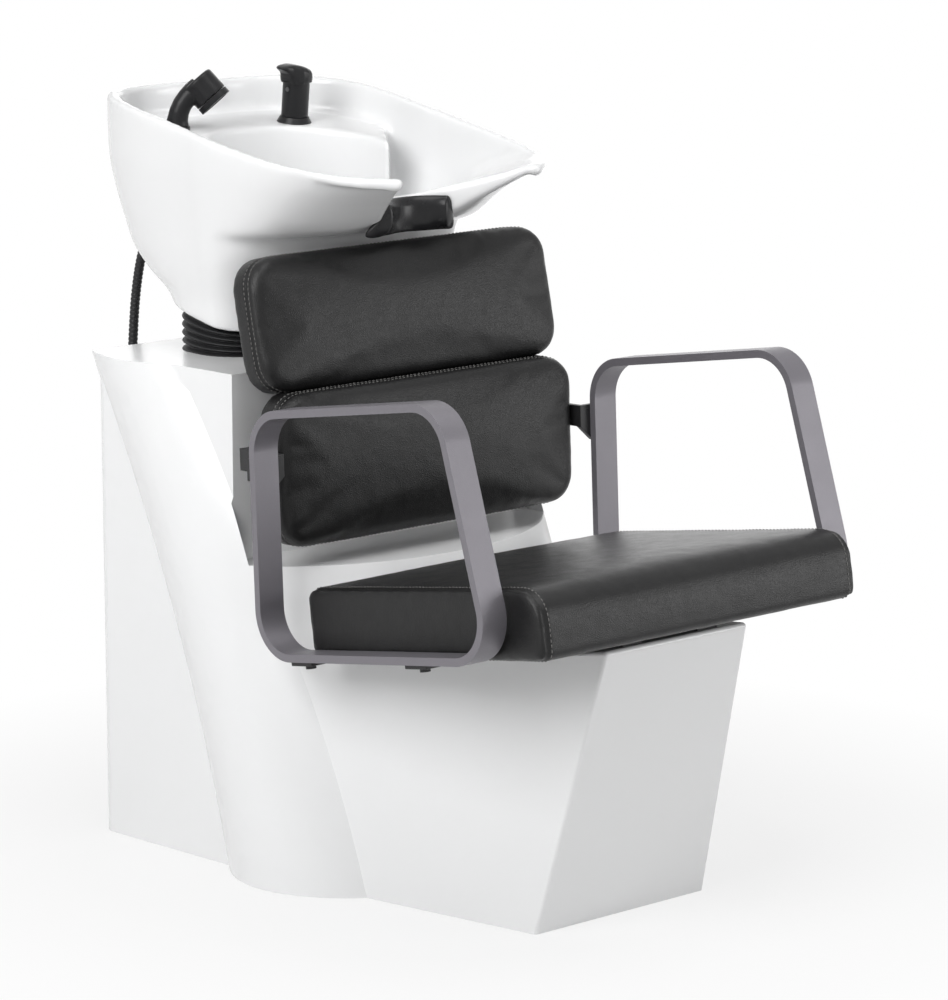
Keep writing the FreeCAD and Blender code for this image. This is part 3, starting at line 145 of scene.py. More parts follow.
def joinRings(bm, rings):
    count = len(rings[0])
    for one, two in zip(rings, rings[1:]):
        for k in range(count):
            n = (k + 1) % count
            bm.faces.new((one[k], one[n], two[n], two[k]))


def capRings(bm, rings):
    joinRings(bm, rings)
    bm.faces.new(list(reversed(rings[0])))
    bm.faces.new(rings[-1])


def closeRings(bm, rings):
    capRings(bm, rings)
    bmesh.ops.recalc_face_normals(bm, faces=bm.faces)


# Shader maths: a wrapped socket, with the operators that the finishes use
class Wire:
    def __init__(self, graph, socket):
        self.graph = graph
        self.socket = socket

    def maths(self, operation, other):
        return self.graph.add("ShaderNodeMath", {"operation": operation}, {0: self, 1: other})

    def __add__(self, other):
        return self.maths("ADD", other)

    __radd__ = __add__

    def __mul__(self, other):
        return self.maths("MULTIPLY", other)

    __rmul__ = __mul__

    def also(self, output):
        return Wire(self.graph, self.socket.node.outputs[output])


class Graph:
    def __init__(self, tree):
        self.tree = tree

    def add(self, kind, settings, inputs, output=0):
        made = self.tree.nodes.new(kind)
        for key, value in settings.items():
            setattr(made, key, value)
        for key, value in inputs.items():
            if isinstance(value, Wire):
                self.tree.links.new(value.socket, made.inputs[key])
            else:
                made.inputs[key].default_value = value
        return Wire(self, made.outputs[output])

    def mapRange(self, value, low, high, first, last):
        return self.add("ShaderNodeMapRange", {}, {"Value": value, "From Min": low, "From Max": high,
                                                   "To Min": first, "To Max": last})

    def seenRays(self):
        # what the camera sees, and what gloss and glass show of it
        ray = self.add("ShaderNodeLightPath", {}, {}, "Is Camera Ray")
        return ray + ray.also("Is Glossy Ray") + ray.also("Is Transmission Ray")

    def close(self, shader, output):
        self.tree.links.new(shader.socket, self.tree.nodes[output].inputs[0])


class Finish(Graph):
    def __init__(self, name, **fixed):
        self.material = bpy.data.materials.new(name)
        self.material.use_nodes = True
        super().__init__(self.material.node_tree)
        self.shader = self.tree.nodes["Principled BSDF"]
        for key, value in fixed.items():
            self.shader.inputs[key.replace("_", " ")].default_value = value
        self.coords = self.add("ShaderNodeTexCoord", {}, {}, "Object")
        finishes[name] = self.material

    def speckle(self, scale, detail=3.0, rough=0.5, stretch=None):
        where = self.coords
        if stretch:
            where = self.add("ShaderNodeMapping", {}, {"Vector": self.coords, "Scale": stretch})
        return self.add("ShaderNodeTexNoise", {}, {"Vector": where, "Scale": scale, "Detail": detail,
                                                   "Roughness": rough}, "Fac")

    def cells(self, scale):
        return self.add("ShaderNodeTexVoronoi", {"feature": "DISTANCE_TO_EDGE"},
                        {"Vector": self.coords, "Scale": scale}, "Distance")

    def tint(self, factor, low, high):
        mixed = self.add("ShaderNodeMix", {"data_type": "RGBA"},
                         {0: factor, 6: (*low, 1), 7: (*high, 1)}, 2)
        self.feed("Base Color", mixed)

    def feed(self, socket, value):
        self.tree.links.new(value.socket, self.shader.inputs[socket])

    def bump(self, height, distance, strength=1.0):
        bumped = self.add("ShaderNodeBump", {}, {"Strength": strength, "Distance": distance,
                                                 "Height": height})
        self.feed("Normal", bumped)


def makeFinishes():
    shell = Finish("gelcoatWhite", Coat_Weight=0.15, Coat_Roughness=0.08, Specular_IOR_Level=0.42)
    shell.tint(shell.speckle(3.0), (0.785, 0.79, 0.795), (0.82, 0.822, 0.825))
    shell.feed("Roughness", shell.speckle(40.0) * 0.08 + 0.2)
    shell.bump(shell.speckle(9.0, 1.0) + shell.speckle(420.0, 1.0) * 0.03, 0.0012, 0.35)
    china = Finish("glazedChina", Coat_Weight=0.12, Coat_Roughness=0.05, Specular_IOR_Level=0.34)
    china.tint(china.speckle(5.0), (0.775, 0.78, 0.785), (0.81, 0.812, 0.815))
    china.feed("Roughness", china.speckle(25.0) * 0.05 + 0.1)
    china.bump(china.speckle(14.0, 1.0), 0.0008, 0.3)
    panel = Finish("panelWhite")
    panel.tint(panel.speckle(8.0), (0.74, 0.745, 0.75), (0.79, 0.79, 0.79))
    panel.feed("Roughness", panel.speckle(60.0) * 0.1 + 0.32)
    panel.bump(panel.speckle(600.0, 2.0), 0.0002, 0.3)
    hide = Finish("blackLeather", Specular_IOR_Level=0.3)
    pores = hide.cells(430.0)
    folds = hide.speckle(55.0, 4.0, 0.6)
    hide.tint(folds, (0.0055, 0.0055, 0.006), (0.012, 0.0118, 0.0118))
    hide.feed("Roughness", folds * 0.14 + hide.speckle(900.0, 2.0) * 0.1 + 0.25)
    hide.bump(pores * 0.7 + folds * 0.5 + hide.speckle(1500.0, 2.0) * 0.2, 0.0009, 0.6)
    graphite = Finish("graphitePaint", Metallic=0.35)
    graphite.tint(graphite.speckle(2200.0, 2.0), (0.14, 0.133, 0.150), (0.222, 0.212, 0.232))
    graphite.feed("Roughness", graphite.speckle(30.0) * 0.1 + 0.36)
    graphite.bump(graphite.speckle(1800.0, 2.0), 0.00025, 0.4)
    paint = Finish("blackPaint", Specular_IOR_Level=0.35)
    paint.tint(paint.speckle(60.0), (0.014, 0.014, 0.015), (0.024, 0.024, 0.025))
    paint.feed("Roughness", paint.speckle(200.0) * 0.15 + 0.38)
    paint.bump(paint.speckle(1600.0, 2.0), 0.0002, 0.4)
    zinc = Finish("zincSteel", Metallic=0.9)
    zinc.tint(zinc.speckle(40.0), (0.42, 0.43, 0.44), (0.6, 0.6, 0.6))
    zinc.feed("Roughness", zinc.speckle(120.0, 3.0, 0.6, (1, 12, 1)) * 0.25 + 0.25)
    zinc.bump(zinc.speckle(300.0, 3.0, 0.6, (1, 20, 1)), 0.0002, 0.3)
    chrome = Finish("chromePlate", Metallic=1.0)
    chrome.tint(chrome.speckle(30.0), (0.7, 0.71, 0.72), (0.8, 0.8, 0.81))
    chrome.feed("Roughness", chrome.speckle(90.0) * 0.1 + 0.06)
    rubber = Finish("softRubber", Specular_IOR_Level=0.3)
    rubber.tint(rubber.speckle(40.0), (0.012, 0.012, 0.013), (0.022, 0.022, 0.023))
    rubber.feed("Roughness", rubber.speckle(140.0) * 0.15 + 0.4)
    rubber.bump(rubber.speckle(900.0, 2.0), 0.0002, 0.35)
    gel = Finish("glossRubber", Specular_IOR_Level=0.22, Coat_Weight=0.06, Coat_Roughness=0.15)
    gel.tint(gel.speckle(50.0), (0.010, 0.010, 0.011), (0.018, 0.018, 0.019))
    gel.feed("Roughness", gel.speckle(80.0) * 0.12 + 0.2)
    gel.bump(gel.speckle(60.0, 1.0), 0.0004, 0.3)
    tap = Finish("tapBlack", Specular_IOR_Level=0.2, Coat_Weight=0.03, Coat_Roughness=0.2)
    tap.tint(tap.speckle(50.0), (0.012, 0.012, 0.013), (0.02, 0.02, 0.021))
    tap.feed("Roughness", tap.speckle(150.0) * 0.05 + 0.28)
    tap.bump(tap.speckle(1600.0, 2.0), 0.00003, 0.15)
    plastic = Finish("blackPlastic", Specular_IOR_Level=0.2)
    plastic.tint(plastic.speckle(50.0), (0.010, 0.010, 0.011), (0.018, 0.018, 0.019))
    plastic.feed("Roughness", plastic.speckle(180.0) * 0.12 + 0.26)
    plastic.bump(plastic.speckle(1200.0, 2.0), 0.0001, 0.3)
    lining = Finish("liningCloth", Specular_IOR_Level=0.2)
    weave = lining.speckle(700.0, 2.0, 0.5, (1, 6, 6))
    lining.tint(weave, (0.008, 0.008, 0.009), (0.02, 0.02, 0.021))
    lining.feed("Roughness", weave * 0.15 + 0.75)
    lining.bump(weave, 0.0004, 0.5)
    thread = Finish("seamThread")
    thread.tint(thread.speckle(900.0), (0.10, 0.098, 0.095), (0.17, 0.166, 0.16))
    thread.feed("Roughness", thread.speckle(600.0) * 0.2 + 0.6)
    dot = Finish("markGrey")
    dot.tint(dot.speckle(300.0), (0.050, 0.050, 0.052), (0.085, 0.085, 0.088))
    dot.feed("Roughness", dot.speckle(200.0) * 0.1 + 0.3)
    print("finishes made", len(finishes))


# CAD nodes that keep their shape: finish, bevel width in metres
keptNodes = {
    "gelcoatWhite": (["base_shell"], 0.003),
    "panelWhite": (["service_panel"], 0.0012),
    "graphitePaint": (["armrest_left", "armrest_right"], 0.0022),
    "blackPaint": (["seat_frame", "back_bracket", "back_spine_left", "back_spine_right", "bracket_bolts",
                    "spine_bolts", "armrest_bolts", "back_screws"], 0.0009),
    "zincSteel": (["panel_screws", "floor_plate", "frame_post_left", "frame_post_right", "cap_plate",
                   "seat_screws", "hinge_base", "hinge_head", "hinge_pin", "hinge_bolts", "drain_nut",
                   "mixer_nut", "holder_nut", "supply_tails", "mixer_spindle"], 0.0006),
    "chromePlate": (["drain_waste", "strainer"], 0.0005),
    "softRubber": (["drain_seal"], 0.0008),
    "tapBlack": (["mixer_base", "mixer_body"], 0.0012),
    "blackPlastic": (["mixer_cartridge", "shower_holder", "shower_ring", "spray_face",
                      "shower_stub"], 0.0009),
    "liningCloth": (["seat_board", "lower_back_board", "upper_back_board"], 0.0012),
    "markGrey": (["mixer_mark"], 0.0002),
}
bevelLooks = dict(segments=2, angle=32)


def dressNodes():
    for finish, (names, width) in keptNodes.items():
        for name in names:
            obj = nodes[name]
            paint(obj, finish)
            weld = obj.modifiers.new("weld", "WELD")
            weld.merge_threshold = mergeDistance
            bevel = obj.modifiers.new("bevel", "BEVEL")
            bevel.width = width
            bevel.segments = bevelLooks["segments"]
            bevel.limit_method = "ANGLE"
            bevel.angle_limit = math.radians(bevelLooks["angle"])
            bevel.harden_normals = False
            weighted = obj.modifiers.new("weighted", "WEIGHTED_NORMAL")
            weighted.keep_sharp = False
            smooth(obj)
    print("nodes dressed")


# where the seat, the back and the bowl's deck stand: y, z and tilt
seatFrame = place(-0.500, 0.387, -9.9)
postFoot = seatFrame @ Vector((0, 0.489, 0))
backFrame = place(postFoot.y, postFoot.z, -2.71)
lowerFrame = backFrame @ place(0.010, 0.130, 0)
upperFrame = backFrame @ place(0.030, 0.325, -10.29)
deckFrame = place(0.400, 0.904, 6.0)

# each cushion is a block: depth is the axis that its edges close, corners go round from rear top or left top
backLooks = dict(depth=1, corners=(0.038,) * 4, edges=(0.015, 0.006), crownAxis=1, flat=0.008, swell=0.009,
                 seams=(0.016,), rows=(0.0115, 0.0205), held=lambda p: p.y > 0.020)
cushionSettings = {
    "seatCushion": dict(node="seat_cushion", frame=seatFrame, depth=0, corners=(0.014, 0.036, 0.011, 0.011),
                        edges=(0.008, 0.008), crownAxis=2, flat=0.004, swell=0.005, seams=(-0.2500, 0.2500),
                        rows=(-0.2445, 0.2445), held=lambda p: abs(p.x) > 0.247 or p.z < 0.016),
    "lowerBackCushion": dict(backLooks, node="lower_back_cushion", frame=lowerFrame),
    "upperBackCushion": dict(backLooks, node="upper_back_cushion", frame=upperFrame),
}
cushionLooks = dict(voxel=0.0050, pressure=3.0, stiffness=40.0, bending=6.0, frames=20, quality=6,
                    grow=0.001, arcSteps=6, relaxPasses=2, grooveWidth=0.0032, grooveDepth=0.0020,
                    grooveGain=2, wrinkle=0.0004, wrinkleScale=26, wrinkleOctaves=3)
stitchLooks = dict(length=0.0042, pitch=0.0062, radius=0.0006, sides=6, lift=0.0002, rays=720, reach=1.4,
                   coreShares=(0.6, 0.3), longestStep=0.03)
# one thread from end to end: shares of its length, thickness and depth
threadShape = [(-0.5, 0.25, 0.6), (-0.32, 0.9, 0.0), (0.0, 1.0, -0.25), (0.32, 0.9, 0.0), (0.5, 0.25, 0.6)]


def localBox(node, frameMatrix):
    back = frameMatrix.inverted()
    corners = [back @ v.co for v in nodes[node].data.vertices]
    return [min(c[a] for c in corners) for a in range(3)], [max(c[a] for c in corners) for a in range(3)]


def roundedBlock(name, s):
    # a firm block the size of the solid, less the crown that the filling gives it
    low, high = localBox(s["node"], s["frame"])
    if s["crownAxis"] == 2:
        high[2] -= s["flat"]
    else:
        low[1] += s["flat"]
    middle = [(a + b) / 2 for a, b in zip(low, high)]
    half = [(b - a) / 2 for a, b in zip(low, high)]
    depth = s["depth"]
    first = 1 - depth
    steps = cushionLooks["arcSteps"]
    turns = [math.pi / 2 * k / steps for k in range(steps + 1)]
    near, far = s["edges"]
    profile = [(near * (1 - math.sin(a)), low[depth] + near * (1 - math.cos(a))) for a in turns]
    profile += [(far * (1 - math.cos(a)), high[depth] - far * (1 - math.sin(a))) for a in turns]
    bm = bmesh.new()
    rings = []
    for inset, level in profile:
        ring = []
        for quarter, (sideA, sideB) in enumerate(((1, 1), (-1, 1), (-1, -1), (1, -1))):
            radius = s["corners"][quarter]
            reach = radius - inset
            for a in turns:
                turned = a + quarter * math.pi / 2
                spot = [0.0, 0.0, 0.0]
                spot[depth] = level
                spot[first] = middle[first] + sideA * (half[first] - radius) + reach * math.cos(turned)
                spot[2] = middle[2] + sideB * (half[2] - radius) + reach * math.sin(turned)
                ring.append(bm.verts.new(s["frame"] @ Vector(spot)))
        rings.append(ring)
    closeRings(bm, rings)
    return meshPiece(name, bm)


def inflate(piece, held, frameMatrix, limit):
    scene = bpy.context.scene
    back = frameMatrix.inverted()
    rest = [v.co.copy() for v in piece.data.vertices]
    group = piece.vertex_groups.new(name="held")
    group.add([i for i, p in enumerate(rest) if held(back @ p)], 1.0, "REPLACE")
    cloth = piece.modifiers.new("cloth", "CLOTH")
    cloth.settings.use_pressure = True
    cloth.settings.uniform_pressure_force = cushionLooks["pressure"]
    cloth.settings.effector_weights.gravity = 0
    cloth.settings.vertex_group_mass = "held"
    cloth.settings.quality = cushionLooks["quality"]
    cloth.settings.tension_stiffness = cushionLooks["stiffness"]
    cloth.settings.compression_stiffness = cushionLooks["stiffness"]
    cloth.settings.shear_stiffness = cushionLooks["stiffness"]
    cloth.settings.bending_stiffness = cushionLooks["bending"]
    cloth.point_cache.frame_end = cushionLooks["frames"]
    for number in range(1, cushionLooks["frames"] + 1):
        scene.frame_set(number)
    shaped = piece.evaluated_get(bpy.context.evaluated_depsgraph_get())
    moved = [v.co.copy() for v in shaped.data.vertices]
    piece.modifiers.remove(cloth)
    scene.frame_set(1)
    biggest = max((after - before).length for before, after in zip(rest, moved))
    share = min(1.0, limit / max(biggest, tiny))
    for vert, before, after in zip(piece.data.vertices, rest, moved):
        vert.co = before.lerp(after, share)
    print("inflated by", round(biggest, 4), "kept share", round(share, 3))


def makeCushion(name, s):
    back = s["frame"].inverted()
    looks = cushionLooks
    piece = roundedBlock(name, s)
    remesh(piece, looks["voxel"])
    fatten(piece, looks["grow"])
    inflate(piece, s["held"], s["frame"], s["swell"])
    relax(piece, looks["relaxPasses"])
    useModifier(piece, "SUBSURF", levels=1, render_levels=1)
    # the seam draws the cover in all round, and the hide creases softly
    piece.data.update()
    normals = [v.normal.copy() for v in piece.data.vertices]
    for vert, normal in zip(piece.data.vertices, normals):
        local = back @ vert.co
        side = 1 - abs((back.to_3x3() @ normal)[s["depth"]])
        groove = 0.0
        for seam in s["seams"]:
            away = (local[s["depth"]] - seam) / looks["grooveWidth"]
            groove += math.exp(-away * away) * min(1.0, side * looks["grooveGain"])
        crease = noise.fractal(local * looks["wrinkleScale"], 1.0, 2.0, looks["wrinkleOctaves"])
        vert.co += normal * (crease * looks["wrinkle"] - groove * looks["grooveDepth"])
    smooth(piece)
    dress(piece, "blackLeather", "base")
    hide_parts(s["node"])
    makeStitches(name + "Stitches", piece, s)
    print("cushion", name, len(piece.data.polygons))


def seamLoop(piece, s, level):
    # points round the cushion at one depth, read from the finished cover by rays towards its middle
    tree = BVHTree.FromObject(piece, bpy.context.evaluated_depsgraph_get())
    low, high = localBox(s["node"], s["frame"])
    planeAxes = (1 - s["depth"], 2)
    half = [(high[a] - low[a]) / 2 for a in planeAxes]
    middle = [(high[a] + low[a]) / 2 for a in planeAxes]
    points = []
    for i in range(stitchLooks["rays"]):
        turn = 2 * math.pi * i / stitchLooks["rays"]
        across, along = math.cos(turn), math.sin(turn)
        # start on a box well outside, so that the corners get their share of points
        reach = stitchLooks["reach"] / max(abs(across), abs(along))
        start, goal = Vector((0, 0, 0)), Vector((0, 0, 0))
        start[s["depth"]] = goal[s["depth"]] = level
        steps = zip(planeAxes, middle, half, (across, along), stitchLooks["coreShares"])
        for axis, mid, wide, turned, share in steps:
            away = wide * turned * reach
            start[axis] = mid + away
            goal[axis] = mid + max(-wide * share, min(wide * share, away))
        ray = s["frame"].to_3x3() @ (goal - start)
        hit, normal, index, distance = tree.ray_cast(s["frame"] @ start, ray.normalized())
        if hit:
            points.append((hit, normal))
    return points


def makeStitches(name, piece, s):
    bm = bmesh.new()
    for level in s["rows"]:
        loop = seamLoop(piece, s, level)
        travelled = 0.0
        nextStart = 0.0
        for (here, normal), (there, _) in zip(loop, loop[1:] + loop[:1]):
            step = (there - here).length
            if step > stitchLooks["longestStep"]:
                continue
            while nextStart < travelled + step:
                spot = here.lerp(there, (nextStart - travelled) / max(step, tiny))
                addStitch(bm, spot + normal * stitchLooks["lift"], (there - here).normalized(), normal)
                nextStart += stitchLooks["pitch"]
            travelled += step
    stitches = meshPiece(name, bm)
    smooth(stitches)
    dress(stitches, "seamThread", "base")


def addStitch(bm, middle, along, normal):
    # a short spindle that dives into the hide at both ends
    side = along.cross(normal).normalized()
    radius = stitchLooks["radius"]
    rings = []
    for share, grow, sink in threadShape:
        centre = middle + along * share * stitchLooks["length"] - normal * sink * radius
        rings.append(ringRound(bm, centre, side, normal, radius * grow, stitchLooks["sides"]))
    capRings(bm, rings)


bowlLooks = dict(voxel=0.0034, swell=0.0032, settle=0.0018, firstPasses=3, roundPasses=9, beadSteps=8,
                 beadSegments=12, beadRings=8)
# a bead that fills out the rim's front ends: place and radius in millimetres, from the tip back
hornLine = [(113.5, -67.0, 881.5, 6.6), (128.0, -57.0, 883.6, 6.4), (147.0, -40.0, 884.8, 6.2),
            (161.5, -20.0, 886.8, 6.0), (171.5, 0.0, 889.4, 5.4), (179.5, 20.0, 892.0, 4.8)]


def addHornBeads(piece):
    s = bowlLooks
    bm = bmesh.new()
    bm.from_mesh(piece.data)
    for one, two in zip(hornLine, hornLine[1:]):
        for step in range(s["beadSteps"]):
            x, y, z, radius = Vector(one).lerp(Vector(two), step / s["beadSteps"]) / perMetre
            for side in (-x, x):
                bmesh.ops.create_uvsphere(bm, u_segments=s["beadSegments"], v_segments=s["beadRings"],
                                          radius=radius, matrix=Matrix.Translation((side, y, z)))
    bm.to_mesh(piece.data)
    bm.free()


def makeBowl():
    # swelling the solid before its second skin turns every knife edge into a round, thick rim
    s = bowlLooks
    piece = copyNode("bowl", "washBowl")
    addHornBeads(piece)
    remesh(piece, s["voxel"])
    relax(piece, s["firstPasses"])
    fatten(piece, s["swell"])
    remesh(piece, s["voxel"])
    relax(piece, s["roundPasses"])
    fatten(piece, -s["settle"])
    smooth(piece)
    dress(piece, "glazedChina", "bowl")
    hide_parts("bowl")
    print("bowl", len(piece.data.polygons))


restLooks = dict(centreY=-0.005, spread=59.0, sections=40, flare=0.026, flareFrom=0.42, flareMiddle=0.3,
                 endShare=0.06, endLeast=0.02, endHeight=0.35)
# the rest's section: distance from the notch's middle, height, and its share of the flare
restOutline = [(0.0676, 0.8005, 1.0), (0.0678, 0.8120, 0.75), (0.0676, 0.8280, 0.1), (0.0676, 0.8385, 0.0),
               (0.0664, 0.8446, 0.0), (0.0630, 0.8466, 0.0), (0.0580, 0.8446, 0.0), (0.0550, 0.8385, 0.0),
               (0.0530, 0.8340, 0.0), (0.0530, 0.8180, 0.0), (0.0550, 0.8060, 0.15), (0.0600, 0.8005, 0.5)]


def makeNeckRest():
    s = restLooks
    bm = bmesh.new()
    rings = []
    for i in range(s["sections"] + 1):
        share = 2 * i / s["sections"] - 1
        turn = math.radians(90 + s["spread"] * share)
        grow = max(0.0, (abs(share) - s["flareFrom"]) / (1 - s["flareFrom"]))
        grow = grow * grow * (3 - 2 * grow) * s["flare"]
        near = max(0.0, (abs(share) - 1 + s["endShare"]) / s["endShare"])
        keep = math.sqrt(max(s["endLeast"], 1 - near * near))
        midOut = sum(p[0] for p in restOutline) / len(restOutline) + grow * s["flareMiddle"]
        midUp = sum(p[1] for p in restOutline) / len(restOutline)
        ring = []
        for out, up, flare in restOutline:
            out = midOut + (out + grow * flare - midOut) * keep
            up = midUp + (up - midUp) * (s["endHeight"] + (1 - s["endHeight"]) * keep)
            ring.append(bm.verts.new((out * math.cos(turn), s["centreY"] + out * math.sin(turn), up)))
        rings.append(ring)
    closeRings(bm, rings)
    piece = meshPiece("neckRest", bm)
    useModifier(piece, "SUBSURF", levels=2, render_levels=2)
    smooth(piece)
    dress(piece, "glossRubber", "bowl")
    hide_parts("neck_rest")
    print("neck rest", len(piece.data.polygons))


# the lever's hood from its back to its beak: place, half width, underside and top, in millimetres
hoodSections = [(-21.2, 2.0, 53.5, 56.5), (-20.4, 6.5, 53.5, 60.5), (-18.0, 11.5, 53.2, 66.0),
                (-14.0, 16.2, 52.6, 70.5), (-8.0, 19.6, 51.8, 75.0), (0.0, 21.0, 50.5, 78.0),
                (8.0, 19.8, 50.5, 79.8), (14.0, 16.6, 50.5, 80.6), (18.0, 13.6, 54.0, 80.9),
                (21.0, 11.5, 62.0, 80.9), (25.0, 10.5, 69.0, 80.7), (30.0, 9.5, 72.5, 80.2),
                (35.0, 7.0, 75.0, 79.3), (38.0, 2.5, 76.5, 78.2)]
hoodLooks = dict(spot=(0.090, -0.006, 0), heading=192.0, points=32, power=3.6, voxel=0.0008, passes=4,
                 hollow=0.0202, ballZ=0.053, ballSegments=64, ballRings=32, creaseAngle=40)


def makeHood():
    s = hoodLooks
    spot = deckFrame @ Matrix.Translation(s["spot"])
    turn = spot @ Matrix.Rotation(math.radians(s["heading"]), 4, "Z")
    oval = ovalPoints(s["points"], s["power"])
    bm = bmesh.new()
    rings = []
    for along, half, low, high in hoodSections:
        ring = []
        for across, up in oval:
            point = Vector((along, across * half, (high + low) / 2 + up * (high - low) / 2))
            ring.append(bm.verts.new(turn @ (point / perMetre)))
        rings.append(ring)
    closeRings(bm, rings)
    piece = meshPiece("leverHood", bm)
    remesh(piece, s["voxel"])
    relax(piece, s["passes"])
    # a ball cut from below clears the cartridge
    bpy.ops.object.select_all(action="DESELECT")
    bpy.ops.mesh.primitive_uv_sphere_add(segments=s["ballSegments"], ring_count=s["ballRings"],
                                         radius=s["hollow"], location=spot @ Vector((0, 0, s["ballZ"])))
    ball = bpy.context.object
    useModifier(piece, "BOOLEAN", operation="DIFFERENCE", object=ball)
    bpy.data.objects.remove(ball)
    smooth(piece)
    pick(piece)
    bpy.ops.object.shade_smooth_by_angle(angle=math.radians(s["creaseAngle"]))
    dress(piece, "tapBlack", "lever")
    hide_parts("mixer_lever")
    print("lever hood", len(piece.data.polygons))


# the hand shower's neck from its foot to its head: place over the holder and radius, in millimetres
neckLine = [(0.0, 0.0, 6.4, 15.5), (0.0, 0.0, 9.0, 15.0), (0.2, 0.0, 14.0, 13.9), (1.6, -0.6, 24.0, 13.2),
            (5.0, -2.0, 34.0, 13.0), (10.5, -4.2, 43.0, 13.2), (17.5, -6.8, 50.5, 14.0),
            (25.0, -9.5, 56.0, 15.0)]
# its head from the back to the front: shares of its length and radius
headShape = [(-0.5, 0.86), (-0.47, 0.95), (-0.42, 1.0), (0.5, 1.0)]
showerLooks = dict(spot=(-0.090, 0.014, 0), head=(0.031, -0.012, 0.055), heading=-52.0, dip=43.0,
                   headRadius=0.0234, headLength=0.031, voxel=0.0011, passes=5, stemRadius=0.0089,
                   stemLow=-0.028, stemHigh=0.0075, sides=28, creaseAngle=45)


def makeShowerBody():
    s = showerLooks
    spot = deckFrame @ Matrix.Translation(s["spot"])
    dip, heading = math.radians(s["dip"]), math.radians(s["heading"])
    facing = Vector((math.cos(dip) * math.cos(heading), math.cos(dip) * math.sin(heading), -math.sin(dip)))
    bm = bmesh.new()
    points = [Vector(p[:3]) / perMetre for p in neckLine]
    rings = []
    for i, point in enumerate(points):
        ahead = (points[min(i + 1, len(points) - 1)] - points[max(i - 1, 0)]).normalized()
        side = Vector((0, 1, 0)).cross(ahead).normalized()
        radius = neckLine[i][3] / perMetre
        rings.append(ringRound(bm, point, side, ahead.cross(side), radius, s["sides"], spot))
    closeRings(bm, rings)
    side = facing.cross(Vector((0, 0, 1))).normalized()
    rings = []
    for share, grow in headShape:
        centre = Vector(s["head"]) + facing * s["headLength"] * share
        radius = s["headRadius"] * grow
        rings.append(ringRound(bm, centre, side, facing.cross(side), radius, 2 * s["sides"], spot))
    closeRings(bm, rings)
    piece = meshPiece("showerBody", bm)
    remesh(piece, s["voxel"])
    relax(piece, s["passes"])
    # the stem that stands in the holder
    bm = bmesh.new()
    bm.from_mesh(piece.data)
    across, along = Vector((1, 0, 0)), Vector((0, 1, 0))
    closeRings(bm, [ringRound(bm, Vector((0, 0, z)), across, along, s["stemRadius"], s["sides"], spot)
                    for z in (s["stemLow"], s["stemHigh"])])
    bm.to_mesh(piece.data)
    bm.free()
    smooth(piece)
    pick(piece)
    bpy.ops.object.shade_smooth_by_angle(angle=math.radians(s["creaseAngle"]))
    dress(piece, "blackPlastic", "hand_shower")
    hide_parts("shower_body")
    print("shower body", len(piece.data.polygons))


bellowsLooks = dict(centreY=0.251, low=0.6402, high=0.6855, tilt=10.8, halfWidth=0.187, halfDepth=0.090,
                    pleats=5, pleatDepth=0.0075, crest=0.8, rounds=8, points=128, power=2.6, wall=0.0025,
                    fixedLow=0.002, fixedHigh=0.004)


def makeBellows():
    s = bellowsLooks
    bm = bmesh.new()
    count = s["pleats"] * s["rounds"]
    oval = ovalPoints(s["points"], s["power"])
    rings = []
    for i in range(count + 1):
        share = i / count
        wave = (1 + math.cos(2 * math.pi * share * s["pleats"])) / 2
        inset = s["pleatDepth"] * (1 - wave ** s["crest"])
        turn = place(s["centreY"], s["low"] + (s["high"] - s["low"]) * share, s["tilt"] * share)
        wide, deep = s["halfWidth"] - inset, s["halfDepth"] - inset
        rings.append([bm.verts.new(turn @ Vector((x * wide, y * deep, 0))) for x, y in oval])
    joinRings(bm, rings)
    piece = meshPiece("bellowsSkin", bm)
    useModifier(piece, "SOLIDIFY", thickness=s["wall"], offset=-1.0)
    smooth(piece)
    paint(piece, "softRubber")
    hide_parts("bellows")
    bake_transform(piece)
    print("bellows", len(piece.data.polygons))


# start and end are points on the deck, and scale is for the route's shares
hoseLooks = dict(diameter=0.013, ribDepth=0.0006, ribs=200, sides=12, cuff=0.013, pull=(0.03, 0.0, -0.06),
                 start=(-0.09, 0.014, -0.0343), end=(0.09, 0.002, -0.034), lead=0.061,
                 scale=(0.09, 0.400, 0.904), smoothness=24, steep=0.95)
# the hose's route behind the unit, from the hand shower's end round to the mixer
hoseRoute = [(-1.00, 1.220, 0.837), (-1.00, 1.277, 0.763), (-1.01, 1.300, 0.669), (-1.04, 1.308, 0.553),
             (-0.98, 1.313, 0.454), (-0.66, 1.315, 0.378), (-0.02, 1.317, 0.350), (0.64, 1.315, 0.376),
             (0.98, 1.313, 0.452), (1.05, 1.308, 0.551), (1.02, 1.300, 0.668), (1.00, 1.275, 0.763),
             (1.00, 1.198, 0.832)]
# one rib: shares of its pitch and of its height
ribShape = [(0.15, 0.7), (0.3, 1.0), (0.55, 1.0), (0.7, 0.7), (0.85, 0.0), (1.0, 0.0)]


def hosePath(route):
    curve = bpy.data.curves.new("hoseLine", "CURVE")
    curve.dimensions = "3D"
    curve.resolution_u = hoseLooks["smoothness"]
    spline = curve.splines.new("NURBS")
    spline.points.add(len(route) - 1)
    for point, spot in zip(spline.points, route):
        point.co = (*spot, 1)
    spline.order_u = 3
    spline.use_endpoint_u = True
    line = newPiece("hoseLine", curve)
    bpy.context.view_layer.update()
    sampled = bpy.data.meshes.new_from_object(line.evaluated_get(bpy.context.evaluated_depsgraph_get()))
    path = [v.co.copy() for v in sampled.vertices]
    bpy.data.objects.remove(line)
    return path


